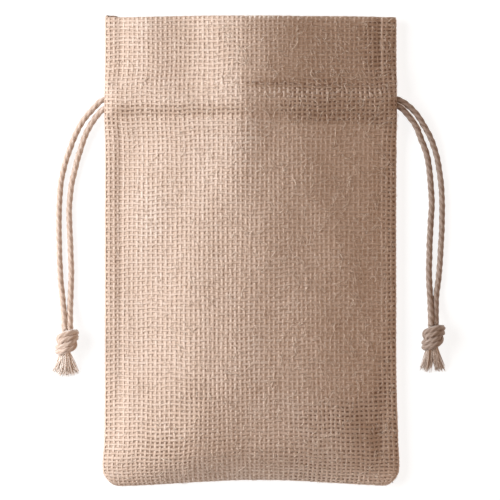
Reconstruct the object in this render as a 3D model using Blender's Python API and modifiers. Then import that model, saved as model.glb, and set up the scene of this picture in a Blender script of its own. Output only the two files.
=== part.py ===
# Burlap drawstring sack, lying on its back with the mouth towards +Y.
# Sizes below are in millimetres and the objects are in metres.
# Origin: middle of the sack, on the surface that it lies on. +X right, +Z up.
import math

import bmesh
import bpy
from mathutils import Quaternion, Vector

mm = 0.001

# the cloth
bottomY = -114.0          # the fold at the bottom
mouthY = 114.0
cornerRadius = 7.5        # round bottom corners
foldRound = 2.1           # how far up from the fold its edge is rounded
foldTip = 0.35            # half the thickness of the blunt end of that round edge
bellyRise = 17.0          # how far from the fold the cloth has risen to its crown
bellyFullness = 0.75      # under 1, the belly rises steeply from the fold
foldsInset = 14.0         # folds fade out over this distance to a side edge
backRise = 15.0           # how far from the fold the back lies flat
sideRise = 20.0           # how far from a side edge the back lies flat
bottomArch = 2.9          # the bottom's middle stands this much above its corners
archReach = 60.0
archFade = 42.0
seamInset = 6.8           # crease along the end of the side seam's allowance
seamDepth = 0.7
seamWidth = 1.3
seamFade = 40.0           # the crease deepens over this distance up from the fold

# the heading and the drawstring channel
lowerStitch = 64.1
upperStitch = 80.2
channelMiddle = (lowerStitch + upperStitch) / 2
creaseFree = 6.0          # the side crease is lost in the channel, from here
creaseFull = 14.0         # to here, away from the channel's middle
stitchDepth = 0.75
stitchWidth = 1.8
channelPuff = 1.2
singleCloth = 1.1         # one layer of burlap
doubleCloth = 2.2         # the turned-in heading
tunnelCover = 1.2         # cloth over the cord
tunnelDepth = 3.2
tunnelLining = 0.8        # cloth under the cord
tunnelBottom = 64.9
tunnelTop = 79.1
thickFrom = 60.8          # the channel's two layers and its lining start below it
thickTo = 83.3            # and end above it
thickening = 2.5
hemFrom = 81.2
tunnelReach = 61.5        # half length of the front and back channels
pocketStart = 56.5        # where front and back channel join at each side
pocketEnd = 67.8
slitStart = 64.0
slitEnd = 75.0
slitHalf = 2.3
slitBottom = 66.5
slitTop = 75.0
inward = 0.15             # the side pocket lies this far inside the channels' faces
slabNose = 0.4            # how far a channel's end is pointed
slabRows = 6
hollowEnd = 52.5          # half width of the space between the channels
hollowFrom = 60.0
hollowTo = 84.4
hollowDrawIn = 3.5
hollowColumns = 20

# the drawstrings
cordDiameter = 2.5
cordGap = 0.3
passLeft = 73.0           # height of the left cord in the channels
passRight = 69.8          # height of the right cord in the channels
passReach = 57.0          # ends of the even stretch, on the cord's own side and the far side
turnStart = 52.0
passStep = 9.5
turnDepth = 3.0
turnReach = 60.4          # outermost point of a cord's turn inside the channel
splitAt = 68.6            # about where the free strands meet the stretch in the channel
pairOffset = 1.2          # half the distance of the two strands in a knot
coreRadius = 1.8          # within this the strands run through the knot's middle
coreBlend = 1.4
coreSize = (3.9, 4.3, 3.0)
knotVoxel = 0.62
knotDetail = 0.36

burlapColor = (0.552, 0.392, 0.283)
cordColor = (0.584, 0.445, 0.330)

# outline and form, one row for each height on the sack:
# y, half width to the left and right, underside and top of the side edge, top of the belly,
# place of the soft ridge along the belly, how round that ridge is, and how much of the belly
# comes to a crease there
sectionColumns = ("y", "left", "right", "low", "high", "crown", "ridge", "soft", "crease")
sections = [dict(zip(sectionColumns, row)) for row in (
    (-114.0, 70.4, 70.8, 1.3, 5.5, 17.0, -26.0, 1.10, 0.0),
    (-104.0, 71.6, 71.6, 1.3, 5.5, 22.0, -32.0, 1.00, 0.0),
    (-92.0, 70.8, 70.8, 1.4, 5.7, 24.3, -34.0, 1.00, 0.0),
    (-60.0, 70.5, 70.6, 1.4, 5.8, 23.5, -14.0, 0.80, 0.0),
    (-20.0, 70.5, 70.5, 1.4, 5.8, 22.3, -4.0, 0.66, 0.0),
    (25.0, 70.5, 70.5, 1.4, 5.8, 24.0, 0.8, 0.54, 0.0),
    (52.0, 70.4, 70.6, 1.4, 6.2, 25.6, -0.5, 0.36, 0.07),
    (64.0, 70.7, 70.8, 1.2, 9.6, 28.0, -2.8, 0.28, 0.15),
    (80.0, 70.6, 70.7, 1.2, 9.6, 28.4, -3.2, 0.28, 0.18),
    (89.5, 70.4, 70.6, 1.5, 6.8, 28.4, -3.2, 0.36, 0.20),
    (114.0, 70.4, 70.6, 1.6, 6.6, 27.2, -3.2, 0.38, 0.20),
)]

# folds pressed into the front: from one end to the other, height, half width
foldColumns = ("x0", "y0", "x1", "y1", "height", "width")
folds = [dict(zip(foldColumns, row)) for row in (
    (-50.0, 112.0, -49.0, 86.0, 1.2, 9.0),       # swell at the heading's left
    (-28.0, 116.0, -28.5, 84.0, -2.4, 12.0),     # hollow left of the heading's ridge
    (37.0, 116.0, 34.0, 86.0, -0.7, 11.0),       # shallow hollow right of it
    (-3.0, 57.0, -6.5, 34.0, 1.1, 11.0),         # ridge runs on below the channel
    (-61.5, 40.0, -61.5, -20.0, -1.0, 10.0),     # hollow beside the left seam
    (-27.0, 20.0, -30.0, -60.0, 0.6, 12.0),
    (-25.0, -45.0, -27.0, -85.0, 0.7, 8.0),      # ridge runs down to the left
    (30.0, 32.0, 36.5, 10.0, 0.8, 8.5),
    (46.5, -4.0, 50.0, -26.0, 1.0, 8.5),
    (31.0, -60.0, 29.0, -90.0, 1.0, 10.5),
    (42.0, -50.0, 43.0, -80.0, 1.0, 10.5),
    (-57.5, -66.0, -65.5, -98.0, 0.9, 5.0),      # pulled to the left bottom corner
    (-44.0, -80.0, -55.0, -104.0, -0.7, 6.0),
    (68.0, -58.0, 63.0, -97.0, -1.2, 4.2),       # pulled to the right bottom corner
    (46.0, -88.0, 54.0, -104.0, 0.7, 9.0),
)]

# distances from a side edge at which the loft has points
frontInsets = (3.4, 4.8, 5.9, 6.8, 7.7, 9.0, 12.0, 17.0)
backInsets = (7.0, 13.0, 20.0, 34.0)
frontMiddle = 21
edgeAngles = (64, 36, 0, -36, -64)

# heights of the loft's rows above the fold, then along the sack
foldRows = (0.0, 0.5, 1.2, 2.2, 3.8, 6.0, 9.0, 13.0, 18.0, 24.0)
bodyRows = tuple(range(-82, 58, 7))
headRows = (57.0, 60.4, 62.8, lowerStitch, 65.5, 68.4, channelMiddle, 75.9, 78.8, upperStitch,
            81.8, 84.4, 89.5, 97.0, 106.0, mouthY)
hollowFoldRows = (2.6, 4.5, 8.0, 13.0, 19.0)
hollowBodyRows = tuple(range(-84, 60, 12))
hollowHeadRows = (54.0, 60.0, 62.0, 63.8, 65.5, 72.0, 78.8, 80.8, 82.8, 85.4, 93.0, 103.0, mouthY,
                  mouthY + 4.0)

# the drawstrings' free strands, from the knot to the slit: x, y, z
leftOuterRoute = [
    (-89.9, -36.95, 4.8), (-90.0, -35.3, 4.7), (-90.3, -30.6, 3.0), (-91.0, -23.0, 1.45),
    (-91.9, -12.0, 1.33), (-92.5, 4.0, 1.33), (-92.5, 20.0, 1.33), (-91.7, 32.0, 1.33),
    (-90.2, 40.0, 1.4), (-88.0, 47.0, 1.8), (-85.4, 54.0, 2.6), (-81.6, 61.6, 3.7),
    (-76.8, 67.6, 4.6), (-72.4, 72.0, 5.2), (-70.4, 73.0, 5.4)]
leftInnerRoute = [
    (-87.0, -36.95, 4.8), (-87.0, -35.3, 4.7), (-87.0, -30.6, 3.0), (-86.9, -23.0, 1.45),
    (-86.6, -12.0, 1.33), (-87.1, 4.0, 1.33), (-87.6, 20.0, 1.33), (-86.6, 31.0, 1.33),
    (-85.0, 38.5, 1.4), (-82.7, 47.0, 2.0), (-79.2, 57.0, 3.0), (-75.3, 63.5, 4.0),
    (-71.6, 67.8, 5.0), (-69.8, 69.0, 5.5)]
rightOuterRoute = [
    (89.8, -34.75, 4.5), (89.8, -33.2, 4.4), (89.9, -28.6, 2.8), (90.1, -21.8, 1.45),
    (91.0, -12.6, 1.33), (91.9, 0.0, 1.33), (92.5, 12.1, 1.33), (92.6, 22.3, 1.33),
    (92.2, 31.1, 1.33), (91.2, 39.1, 1.4), (89.8, 46.3, 1.7), (87.4, 53.5, 2.3),
    (84.2, 59.9, 3.1), (80.6, 65.9, 3.9), (76.6, 70.3, 4.6), (72.6, 72.8, 5.2),
    (70.6, 73.2, 5.4)]
rightInnerRoute = [
    (87.0, -34.75, 5.3), (87.0, -33.2, 5.2), (86.8, -28.6, 3.5), (86.6, -22.0, 1.6),
    (86.3, -12.6, 1.33), (86.5, 0.0, 1.33), (87.0, 12.0, 1.33), (87.6, 22.3, 1.33),
    (87.0, 33.1, 1.33), (86.2, 41.1, 1.5), (84.6, 48.3, 2.0), (82.2, 54.3, 2.7),
    (79.4, 59.9, 3.4), (75.8, 64.3, 4.3), (71.9, 68.1, 5.1), (70.1, 69.0, 5.5)]

# each cord inside its slit: x, y, and how far it has parted from the edge's middle height
# towards the front channel or the back channel
leftFrontEntry = [(-67.6, 69.9, 0.25), (-65.9, 71.2, 0.6), (-64.0, 72.5, 0.88), (-61.6, 73.0, 1.0)]
leftBackEntry = [(-68.0, 73.1, 0.1), (-65.6, 73.0, 0.6), (-62.6, 73.0, 1.0)]
rightFrontEntry = [(68.0, 69.7, 0.2), (66.0, 69.8, 0.6), (64.0, 69.8, 0.88), (61.6, 69.8, 1.0)]
rightBackEntry = [(68.4, 72.8, 0.1), (66.4, 71.9, 0.45), (64.4, 70.6, 0.8), (61.8, 69.8, 1.0)]

# the overhand knot's route about its centre, from the strands above to the ends below
knotRoute = [
    (0.0, 6.6, 0.2), (0.1, 4.0, 0.1), (1.7, 1.3, 0.6), (1.4, -1.6, 3.0), (-1.6, -3.2, 3.5),
    (-4.3, -3.9, 1.0), (-3.8, -3.5, -2.1), (-1.3, -1.5, -3.2), (1.1, 1.0, -3.2),
    (3.7, 3.0, -2.1), (4.5, 3.5, 0.8), (2.3, 3.4, 3.4), (-0.9, 2.2, 3.6), (-3.5, 0.8, 2.2),
    (-2.0, -2.4, 0.1), (-0.8, -5.2, 0.0)]

# frayed ends about the knot's centre: each lock's root, its tip and the thickness of both
lockColumns = ("rootX", "rootY", "rootZ", "tipX", "tipY", "tipZ", "root", "tip")
leftLocks = [dict(zip(lockColumns, row)) for row in (
    (-2.4, -4.6, 0.0, -6.0, -15.2, -3.7, 2.4, 1.5),
    (-1.8, -4.6, 0.3, -3.7, -16.2, -3.6, 2.4, 1.7),
    (-1.1, -4.6, 0.3, -1.5, -16.6, -3.6, 2.6, 1.8),
    (-0.6, -4.6, 0.3, 0.7, -16.5, -3.6, 2.6, 1.7),
    (0.0, -4.6, 0.3, 2.8, -15.8, -3.6, 2.4, 1.6),
    (0.4, -4.6, 0.0, 5.0, -15.0, -3.7, 2.2, 1.4),
)]
rightLocks = [dict(zip(lockColumns, row)) for row in (
    (-2.2, -4.6, 0.0, -5.6, -15.6, -3.7, 2.6, 1.6),
    (-2.0, -4.6, 0.2, -3.9, -16.3, -3.6, 2.6, 1.6),
    (-1.8, -4.6, 0.2, -2.3, -16.5, -3.6, 2.6, 1.6),
    (0.4, -4.6, 0.2, 1.6, -16.4, -3.6, 2.6, 1.6),
    (0.6, -4.6, 0.2, 3.2, -16.3, -3.6, 2.6, 1.6),
    (0.8, -4.6, 0.0, 4.7, -15.6, -3.7, 2.6, 1.6),
)]
leftKnot = dict(center=(-88.5, -43.9, 4.75), lean=6.0, locks=leftLocks)
rightKnot = dict(center=(88.4, -41.7, 4.75), lean=0.0, locks=rightLocks)


def clamp(value, low=0.0, high=1.0):
    return max(low, min(high, value))


def smooth(value):
    value = clamp(value)
    return value * value * (3.0 - 2.0 * value)


# a smooth curve through one column of the sections
def section(column, y):
    rows = sections
    y = clamp(y, rows[0]["y"], rows[-1]["y"])
    k = 0
    while k < len(rows) - 2 and y > rows[k + 1]["y"]:
        k += 1
    before, start, end, after = rows[max(k - 1, 0)], rows[k], rows[k + 1], rows[min(k + 2, len(rows) - 1)]
    span = end["y"] - start["y"]
    t = (y - start["y"]) / span
    startSlope = (end[column] - before[column]) / (end["y"] - before["y"])
    endSlope = (after[column] - start[column]) / (after["y"] - start["y"])
    return ((2 * t ** 3 - 3 * t ** 2 + 1) * start[column] + (t ** 3 - 2 * t ** 2 + t) * span * startSlope
            + (3 * t ** 2 - 2 * t ** 3) * end[column] + (t ** 3 - t ** 2) * span * endSlope)


# half width on one side (-1 left, 1 right), drawn in at the round bottom corners
def halfWidth(side, y):
    width = section("left" if side < 0 else "right", y)
    above = y - bottomY
    if above < cornerRadius:
        width -= cornerRadius - math.sqrt(cornerRadius ** 2 - (cornerRadius - above) ** 2)
    return width


# half the thickness of the side edge, which the fold thins out at the bottom
def edgeHalf(y):
    half = (section("high", y) - section("low", y)) / 2
    above = clamp((y - bottomY) / foldRound)
    return foldTip + (half - foldTip) * math.sqrt(1 - (1 - above) ** 2)


def edgeMiddle(y):
    return (section("high", y) + section("low", y)) / 2


def fromEdge(x, y):
    return min(x + halfWidth(-1, y), halfWidth(1, y) - x)


def foldHeight(x, y):
    total = 0.0
    for fold in folds:
        start = Vector((fold["x0"], fold["y0"]))
        run = Vector((fold["x1"], fold["y1"])) - start
        along = clamp((Vector((x, y)) - start).dot(run) / run.length_squared)
        off = (Vector((x, y)) - start - run * along).length
        total += fold["height"] * math.exp(-(off / fold["width"]) ** 2)
    return total


def unevenness(x, y):
    return 0.3 * math.sin(x / 9 + 1.3) * math.sin(y / 13 + 0.4) + 0.2 * math.sin(x / 5.3 - y / 17)


# the front without its seams: a belly with a soft ridge between the side edges
def frontBase(x, y):
    ridge = section("ridge", y)
    side = 1 if x > ridge else -1
    share = clamp((x - ridge) / (side * halfWidth(side, y) - ridge))
    soft = section("soft", y)
    peak = 1 - (math.hypot(share, soft) - soft) / (math.hypot(1, soft) - soft)
    peak += section("crease", y) * (1 - share - peak)
    edgeTop = edgeMiddle(y) + edgeHalf(y)
    rise = clamp((y - bottomY) / bellyRise)
    rise = (1 - (1 - rise) ** 2) ** bellyFullness
    inside = smooth(fromEdge(x, y) / foldsInset)
    belly = (section("crown", y) - edgeTop) * peak
    return edgeTop + rise * (belly + inside * (foldHeight(x, y) + unevenness(x, y)))


def seams(x, y):
    crease = math.exp(-((fromEdge(x, y) - seamInset) / seamWidth) ** 2)
    crease *= smooth((abs(y - channelMiddle) - creaseFree) / (creaseFull - creaseFree))
    stitch = sum(math.exp(-((y - line) / stitchWidth) ** 2) for line in (lowerStitch, upperStitch))
    between = clamp((y - lowerStitch) / (upperStitch - lowerStitch))
    puff = channelPuff * math.sin(math.pi * between)
    return puff - stitchDepth * stitch - seamDepth * crease * smooth((y - bottomY) / seamFade)


def front(x, y):
    return frontBase(x, y) + seams(x, y)


def back(x, y):
    flat = smooth(fromEdge(x, y) / sideRise) * smooth((y - bottomY) / backRise)
    return (edgeMiddle(y) - edgeHalf(y)) * (1 - flat)


# the bottom's middle stands higher than its corners
def archedY(x, y):
    bulge = 0.5 * (1 + math.cos(math.pi * clamp(x / archReach, -1, 1)))
    return y + bottomArch * bulge * (1 - smooth((y - bottomY) / archFade))


# cloth between the outside and the hollow at one height
def wall(y):
    nearChannel = smooth((y - thickFrom) / thickening) * smooth((thickTo - y) / thickening)
    heading = smooth((y - hemFrom) / thickening)
    channelWall = tunnelCover + tunnelDepth + tunnelLining
    plain = singleCloth + (doubleCloth - singleCloth) * heading
    return plain + (channelWall - plain) * nearChannel


def makeMaterial(name, color, roughness):
    material = bpy.data.materials.new(name)
    material.use_nodes = True
    shader = material.node_tree.nodes["Principled BSDF"]
    shader.inputs["Base Color"].default_value = (*color, 1.0)
    shader.inputs["Roughness"].default_value = roughness
    shader.inputs["Metallic"].default_value = 0.0
    material.diffuse_color = (*color, 1.0)
    return material


def addObject(name, data, collection, material=None):
    item = bpy.data.objects.new(name, data)
    collection.objects.link(item)
    if material:
        data.materials.append(material)
    return item


# faces between two lines of points that share their ends, in order of x
def fillStrip(bm, upper, lower):
    i = j = 0
    while i < len(upper) - 1 or j < len(lower) - 1:
        stepUpper = j == len(lower) - 1 or (i < len(upper) - 1 and upper[i + 1].co.x <= lower[j + 1].co.x)
        corner = upper[i + 1] if stepUpper else lower[j + 1]
        face = [upper[i], corner, lower[j]]
        if stepUpper:
            i += 1
        else:
            j += 1
        if len(set(face)) == 3:
            bm.faces.new(face)


# a closed body through rings; each ring is its front line and its back line, left to right
def loft(name, rings, collection, material=None):
    bm = bmesh.new()
    lines = []
    for frontLine, backLine in rings:
        upper = [bm.verts.new(Vector(point) * mm) for point in frontLine]
        lower = [bm.verts.new(Vector(point) * mm) for point in backLine[1:-1]]
        lines.append((upper, [upper[0], *lower, upper[-1]]))
    for (upper, lower), (nextUpper, nextLower) in zip(lines, lines[1:]):
        for line, nextLine in ((upper, nextUpper), (lower, nextLower)):
            for k in range(len(line) - 1):
                bm.faces.new((line[k], line[k + 1], nextLine[k + 1], nextLine[k]))
    fillStrip(bm, *lines[0])
    fillStrip(bm, *lines[-1])
    bmesh.ops.recalc_face_normals(bm, faces=bm.faces)
    mesh = bpy.data.meshes.new(name)
    bm.to_mesh(mesh)
    bm.free()
    return addObject(name, mesh, collection, material)


# one ring of the sack's outside
def outsideRing(y):
    half, middle = edgeHalf(y), edgeMiddle(y)
    left, right = -halfWidth(-1, y), halfWidth(1, y)
    insets = [half] + [max(inset, half + 0.35 * (k + 1)) for k, inset in enumerate(frontInsets)]
    start, end = left + insets[-1], right - insets[-1]
    inner = [start + (end - start) * k / (frontMiddle + 1) for k in range(1, frontMiddle + 1)]
    xs = [left + inset for inset in insets] + inner + [right - inset for inset in reversed(insets)]
    upper = [(x, front(x, y)) for x in xs]
    xs = [left + inset for inset in backInsets] + [0.0] + [right - inset for inset in reversed(backInsets)]
    lower = [(x, back(x, y)) for x in xs]
    for angle in edgeAngles:
        out, up = half * (1 - math.cos(math.radians(angle))), half * math.sin(math.radians(angle))
        line = upper if angle >= 0 else lower
        line.insert(0, (left + out, middle + up))
        line.append((right - out, middle + up))
    lower.sort()
    lower = [upper[0]] + lower + [upper[-1]]
    return [[(x, archedY(x, y), z) for x, z in line] for line in (upper, lower)]


# one ring of the hollow inside
def hollowRing(y):
    narrow = smooth((y - hollowFrom) / hollowDrawIn) * smooth((hollowTo - y) / hollowDrawIn)
    left, right = (side * (halfWidth(side, y) - seamInset) for side in (-1, 1))
    left, right = left + (-hollowEnd - left) * narrow, right + (hollowEnd - right) * narrow
    upper, lower = [], []
    for k in range(hollowColumns + 1):
        x = left + (right - left) * 0.5 * (1 - math.cos(math.pi * k / hollowColumns))
        top, bottom = frontBase(x, y) - wall(y), back(x, y) + wall(y)
        pinch = 0.5 if k in (0, hollowColumns) else 0.0
        upper.append((x, archedY(x, y), top + (bottom - top) * pinch))
        lower.append((x, archedY(x, y), bottom + (top - bottom) * pinch))
    return [upper, lower]


# one slab of the drawstring channel, between two heights given as functions of x and y
def slabRings(startX, endX, lowY, highY, topAt, bottomAt, count):
    xs = [startX + (endX - startX) * k / count for k in range(count + 1)]
    rings = []
    for k in range(slabRows + 1):
        y = lowY + (highY - lowY) * k / slabRows
        upper = [(x, y, topAt(x, y)) for x in xs]
        lower = [(x, y, bottomAt(x, y)) for x in xs]
        middle = [(x + out, y, (topAt(x, y) + bottomAt(x, y)) / 2)
                  for x, out in ((xs[0], -slabNose), (xs[-1], slabNose))]
        rings.append(([middle[0], *upper, middle[1]], [middle[0], *lower, middle[1]]))
    return rings


def cutAway(target, cutter):
    cut = target.modifiers.new(cutter.name, "BOOLEAN")
    cut.object = cutter
    cut.operation = "DIFFERENCE"
    cut.solver = "EXACT"
    cutter.hide_render = True
    cutter.display_type = "WIRE"


def makeSack(collection, cutters, material):
    rows = [bottomY + above for above in foldRows] + list(bodyRows + headRows)
    sack = loft("sack_cloth", [outsideRing(y) for y in rows], collection, material)
    rows = [bottomY + above for above in hollowFoldRows] + list(hollowBodyRows + hollowHeadRows)
    cutAway(sack, loft("hollow", [hollowRing(y) for y in rows], cutters))

    def coverUnder(x, y):
        return frontBase(x, y) - tunnelCover

    def frontFloor(x, y):
        return coverUnder(x, y) - tunnelDepth

    def backFloor(x, y):
        return back(x, y) + tunnelCover

    def backTop(x, y):
        return backFloor(x, y) + tunnelDepth

    def pocketTop(x, y):
        return coverUnder(x, y) - inward

    def pocketFloor(x, y):
        return backFloor(x, y) + inward

    reach = (-tunnelReach, tunnelReach, tunnelBottom, tunnelTop)
    cutAway(sack, loft("channel_front", slabRings(*reach, coverUnder, frontFloor, 20), cutters))
    cutAway(sack, loft("channel_back", slabRings(*reach, backTop, backFloor, 12), cutters))
    for side, name in ((-1, "left"), (1, "right")):
        pocket = sorted((side * pocketStart, side * pocketEnd))
        rings = slabRings(*pocket, tunnelBottom + inward, tunnelTop - inward, pocketTop, pocketFloor, 5)
        cutAway(sack, loft("pocket_" + name, rings, cutters))
        bpy.ops.mesh.primitive_cube_add(size=1)
        slit = bpy.context.object
        slit.name = "slit_" + name
        middle = edgeMiddle((slitBottom + slitTop) / 2)
        slit.location = Vector((side * (slitStart + slitEnd) / 2, (slitBottom + slitTop) / 2, middle)) * mm
        slit.scale = Vector((slitEnd - slitStart, slitTop - slitBottom, 2 * slitHalf)) * mm
        for owner in slit.users_collection:
            owner.objects.unlink(slit)
        cutters.objects.link(slit)
        cutAway(sack, slit)
    return sack


# points of a smooth curve through a route's own points
def smoothPoints(route, parts):
    points = [Vector(point) for point in route]
    points = [points[0] * 2 - points[1], *points, points[-1] * 2 - points[-2]]
    result = []
    for before, start, end, after in zip(points, points[1:], points[2:], points[3:]):
        t0, t1 = 0.0, (start - before).length ** 0.5
        t2 = t1 + (end - start).length ** 0.5
        t3 = t2 + (after - end).length ** 0.5
        for k in range(parts):
            t = t1 + (t2 - t1) * k / parts
            a = before * ((t1 - t) / (t1 - t0)) + start * ((t - t0) / (t1 - t0))
            b = start * ((t2 - t) / (t2 - t1)) + end * ((t - t1) / (t2 - t1))
            c = end * ((t3 - t) / (t3 - t2)) + after * ((t - t2) / (t3 - t2))
            d = a * ((t2 - t) / (t2 - t0)) + b * ((t - t0) / (t2 - t0))
            e = b * ((t3 - t) / (t3 - t1)) + c * ((t - t1) / (t3 - t1))
            result.append(d * ((t2 - t) / (t2 - t1)) + e * ((t - t1) / (t2 - t1)))
    return result + [points[-2]]


def tubeCurve(name, points, collection, material):
    curve = bpy.data.curves.new(name, "CURVE")
    curve.dimensions = "3D"
    curve.bevel_depth = cordDiameter / 2 * mm
    curve.bevel_resolution = 2
    curve.use_fill_caps = True
    spline = curve.splines.new("POLY")
    spline.points.add(len(points) - 1)
    for point, place in zip(spline.points, points):
        point.co = (*(place * mm), 1.0)
    return addObject(name, curve, collection, material)


# the stretch of one cord inside the channels: in along the front, round at the far side, back out
def channelRoute(side, height, frontEntry, backEntry):
    xs = [side * (passReach - passStep * k) for k in range(int((passReach + turnStart) / passStep) + 1)]
    inset = tunnelCover + tunnelDepth / 2
    turnX = -side * (turnReach - turnDepth)

    def frontAt(x, y):
        return frontBase(x, y) - inset

    def backAt(x, y):
        return back(x, y) + inset

    frontPass = [(x, height, frontAt(x, height)) for x in xs]
    backPass = [(x, height, backAt(x, height)) for x in xs]
    top, bottom = frontAt(turnX, height), backAt(turnX, height)
    middle, bend = (top + bottom) / 2, (top - bottom) / 2
    def entry(rows, channelAt):
        return [(x, y, edgeMiddle(y) + (channelAt(x, y) - edgeMiddle(y)) * share) for x, y, share in rows]

    turn = []
    for angle in (90, 50, 0, -50, -90):
        turnAt = turnX - side * turnDepth * math.cos(math.radians(angle))
        turn.append((turnAt, height, middle + bend * math.sin(math.radians(angle))))
    return entry(frontEntry, frontAt) + frontPass + turn + backPass[::-1] + entry(backEntry, backAt)[::-1]


# one cord from knot to knot, parted at its slit into two free strands and the stretch between
def makeCord(name, outer, inner, frontEntry, backEntry, side, height, frontIsInner, collection, material):
    frontStrand, backStrand = (inner, outer) if frontIsInner else (outer, inner)
    within = channelRoute(side, height, frontEntry, backEntry)
    points = smoothPoints(frontStrand + within + backStrand[::-1], 2)
    outside = [abs(point.x) > splitAt for point in points]
    first, last = outside.index(False), len(points) - 1 - outside[::-1].index(False)
    pieces = [points[:first], points[first:last + 1], points[last + 1:]]
    for k in (0, 1):
        start, end = pieces[k][-1], pieces[k + 1][0]
        gap = (end - start).normalized() * (cordGap / 2)
        pieces[k].append((start + end) / 2 - gap)
        pieces[k + 1].insert(0, (start + end) / 2 + gap)
    frontName, backName = ("inner", "outer") if frontIsInner else ("outer", "inner")
    tubeCurve("cord_" + name + "_" + frontName, pieces[0], collection, material)
    tubeCurve("cord_" + name + "_casing", pieces[1], collection, material)
    tubeCurve("cord_" + name + "_" + backName, pieces[2][::-1], collection, material)


# two strands side by side along a knot's route, flat against the knot where they wrap it
def strandPair(route, parts):
    points = smoothPoints(route, parts)
    lines = ([], [])
    for k, point in enumerate(points):
        ahead = (points[min(k + 1, len(points) - 1)] - points[max(k - 1, 0)]).normalized()
        radial = Vector((point.x, 0.0, point.z))
        wrapped = smooth((radial.length - coreRadius) / coreBlend)
        outward = Vector((0.0, 0.0, 1.0)).lerp(radial.normalized(), wrapped)
        side = ahead.cross(outward).normalized() * pairOffset
        lines[0].append(point - side)
        lines[1].append(point + side)
    return lines


def curveMesh(item):
    evaluated = item.evaluated_get(bpy.context.evaluated_depsgraph_get())
    mesh = bpy.data.meshes.new_from_object(evaluated)
    bpy.data.objects.remove(item)
    return mesh


def makeKnot(name, knot, collection, material):
    bm = bmesh.new()
    for line in strandPair(knotRoute, 3):
        bm.from_mesh(curveMesh(tubeCurve(name + "_strand", line, collection, material)))
    core = bmesh.ops.create_icosphere(bm, subdivisions=2, radius=mm)
    bmesh.ops.scale(bm, vec=coreSize, verts=core["verts"])
    for lock in knot["locks"]:
        root = Vector((lock["rootX"], lock["rootY"], lock["rootZ"]))
        tip = Vector((lock["tipX"], lock["tipY"], lock["tipZ"]))
        cone = bmesh.ops.create_cone(bm, cap_ends=True, segments=8, radius1=lock["root"] / 2 * mm,
                                     radius2=lock["tip"] / 2 * mm, depth=(tip - root).length * mm)
        turn = Vector((0, 0, 1)).rotation_difference(tip - root)
        bmesh.ops.rotate(bm, cent=(0, 0, 0), matrix=turn.to_matrix(), verts=cone["verts"])
        bmesh.ops.translate(bm, vec=(root + tip) / 2 * mm, verts=cone["verts"])
    mesh = bpy.data.meshes.new(name)
    bm.to_mesh(mesh)
    bm.free()
    mesh.materials.append(material)
    item = addObject(name, mesh, collection)
    item.location = Vector(knot["center"]) * mm
    item.rotation_mode = "QUATERNION"
    item.rotation_quaternion = Quaternion((0, 1, 0), math.radians(knot["lean"]))
    fuse = item.modifiers.new("fuse", "REMESH")
    fuse.mode = "VOXEL"
    fuse.voxel_size = knotVoxel * mm
    thin = item.modifiers.new("thin", "DECIMATE")
    thin.ratio = knotDetail
    return item


def main():
    for item in list(bpy.data.objects):
        bpy.data.objects.remove(item)
    parts = bpy.data.collections.new("burlap_sack")
    cutters = bpy.data.collections.new("cutters")
    for collection in (parts, cutters):
        bpy.context.scene.collection.children.link(collection)
    cutters.hide_render = True
    burlap = makeMaterial("burlap", burlapColor, 0.92)
    jute = makeMaterial("jute_cord", cordColor, 0.9)
    makeSack(parts, cutters, burlap)
    makeCord("left", leftOuterRoute, leftInnerRoute, leftFrontEntry, leftBackEntry,
             -1, passLeft, True, parts, jute)
    makeCord("right", rightOuterRoute, rightInnerRoute, rightFrontEntry, rightBackEntry,
             1, passRight, True, parts, jute)
    makeKnot("knot_left", leftKnot, parts, jute)
    makeKnot("knot_right", rightKnot, parts, jute)


main()
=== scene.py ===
import math

import bpy
import numpy as np
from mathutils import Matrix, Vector


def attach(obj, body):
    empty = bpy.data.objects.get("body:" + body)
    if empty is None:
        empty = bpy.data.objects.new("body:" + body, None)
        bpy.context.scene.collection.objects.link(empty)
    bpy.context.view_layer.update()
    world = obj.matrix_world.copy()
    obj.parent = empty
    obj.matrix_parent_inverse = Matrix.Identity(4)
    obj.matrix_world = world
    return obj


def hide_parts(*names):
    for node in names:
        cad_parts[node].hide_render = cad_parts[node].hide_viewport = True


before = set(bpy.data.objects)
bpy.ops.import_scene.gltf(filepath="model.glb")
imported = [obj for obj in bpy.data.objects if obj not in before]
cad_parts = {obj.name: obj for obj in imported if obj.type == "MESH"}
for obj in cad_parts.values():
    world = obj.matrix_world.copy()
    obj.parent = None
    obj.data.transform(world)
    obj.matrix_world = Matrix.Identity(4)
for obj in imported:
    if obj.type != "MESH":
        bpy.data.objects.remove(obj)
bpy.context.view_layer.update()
scene = bpy.context.scene
mm = 0.001     # everything below is in millimetres, from the middle of the sack on its floor
print("frame loaded,", len(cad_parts), "solids")

# straight above: its height, what it takes in at the cords' height, and the middle of that
view = dict(height=3200.0, across=241.5, atHeight=3.5, middle=(-0.24, 0.24), sensor=36.0)


def makeCamera():
    data = bpy.data.cameras.new("camera")
    data.sensor_width = view["sensor"]
    data.lens = view["sensor"] * (view["height"] - view["atHeight"]) / view["across"]
    camera = bpy.data.objects.new("camera", data)
    camera.location = (view["middle"][0] * mm, view["middle"][1] * mm, view["height"] * mm)
    scene.collection.objects.link(camera)
    scene.camera = camera


makeCamera()
print("camera placed")


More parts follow.
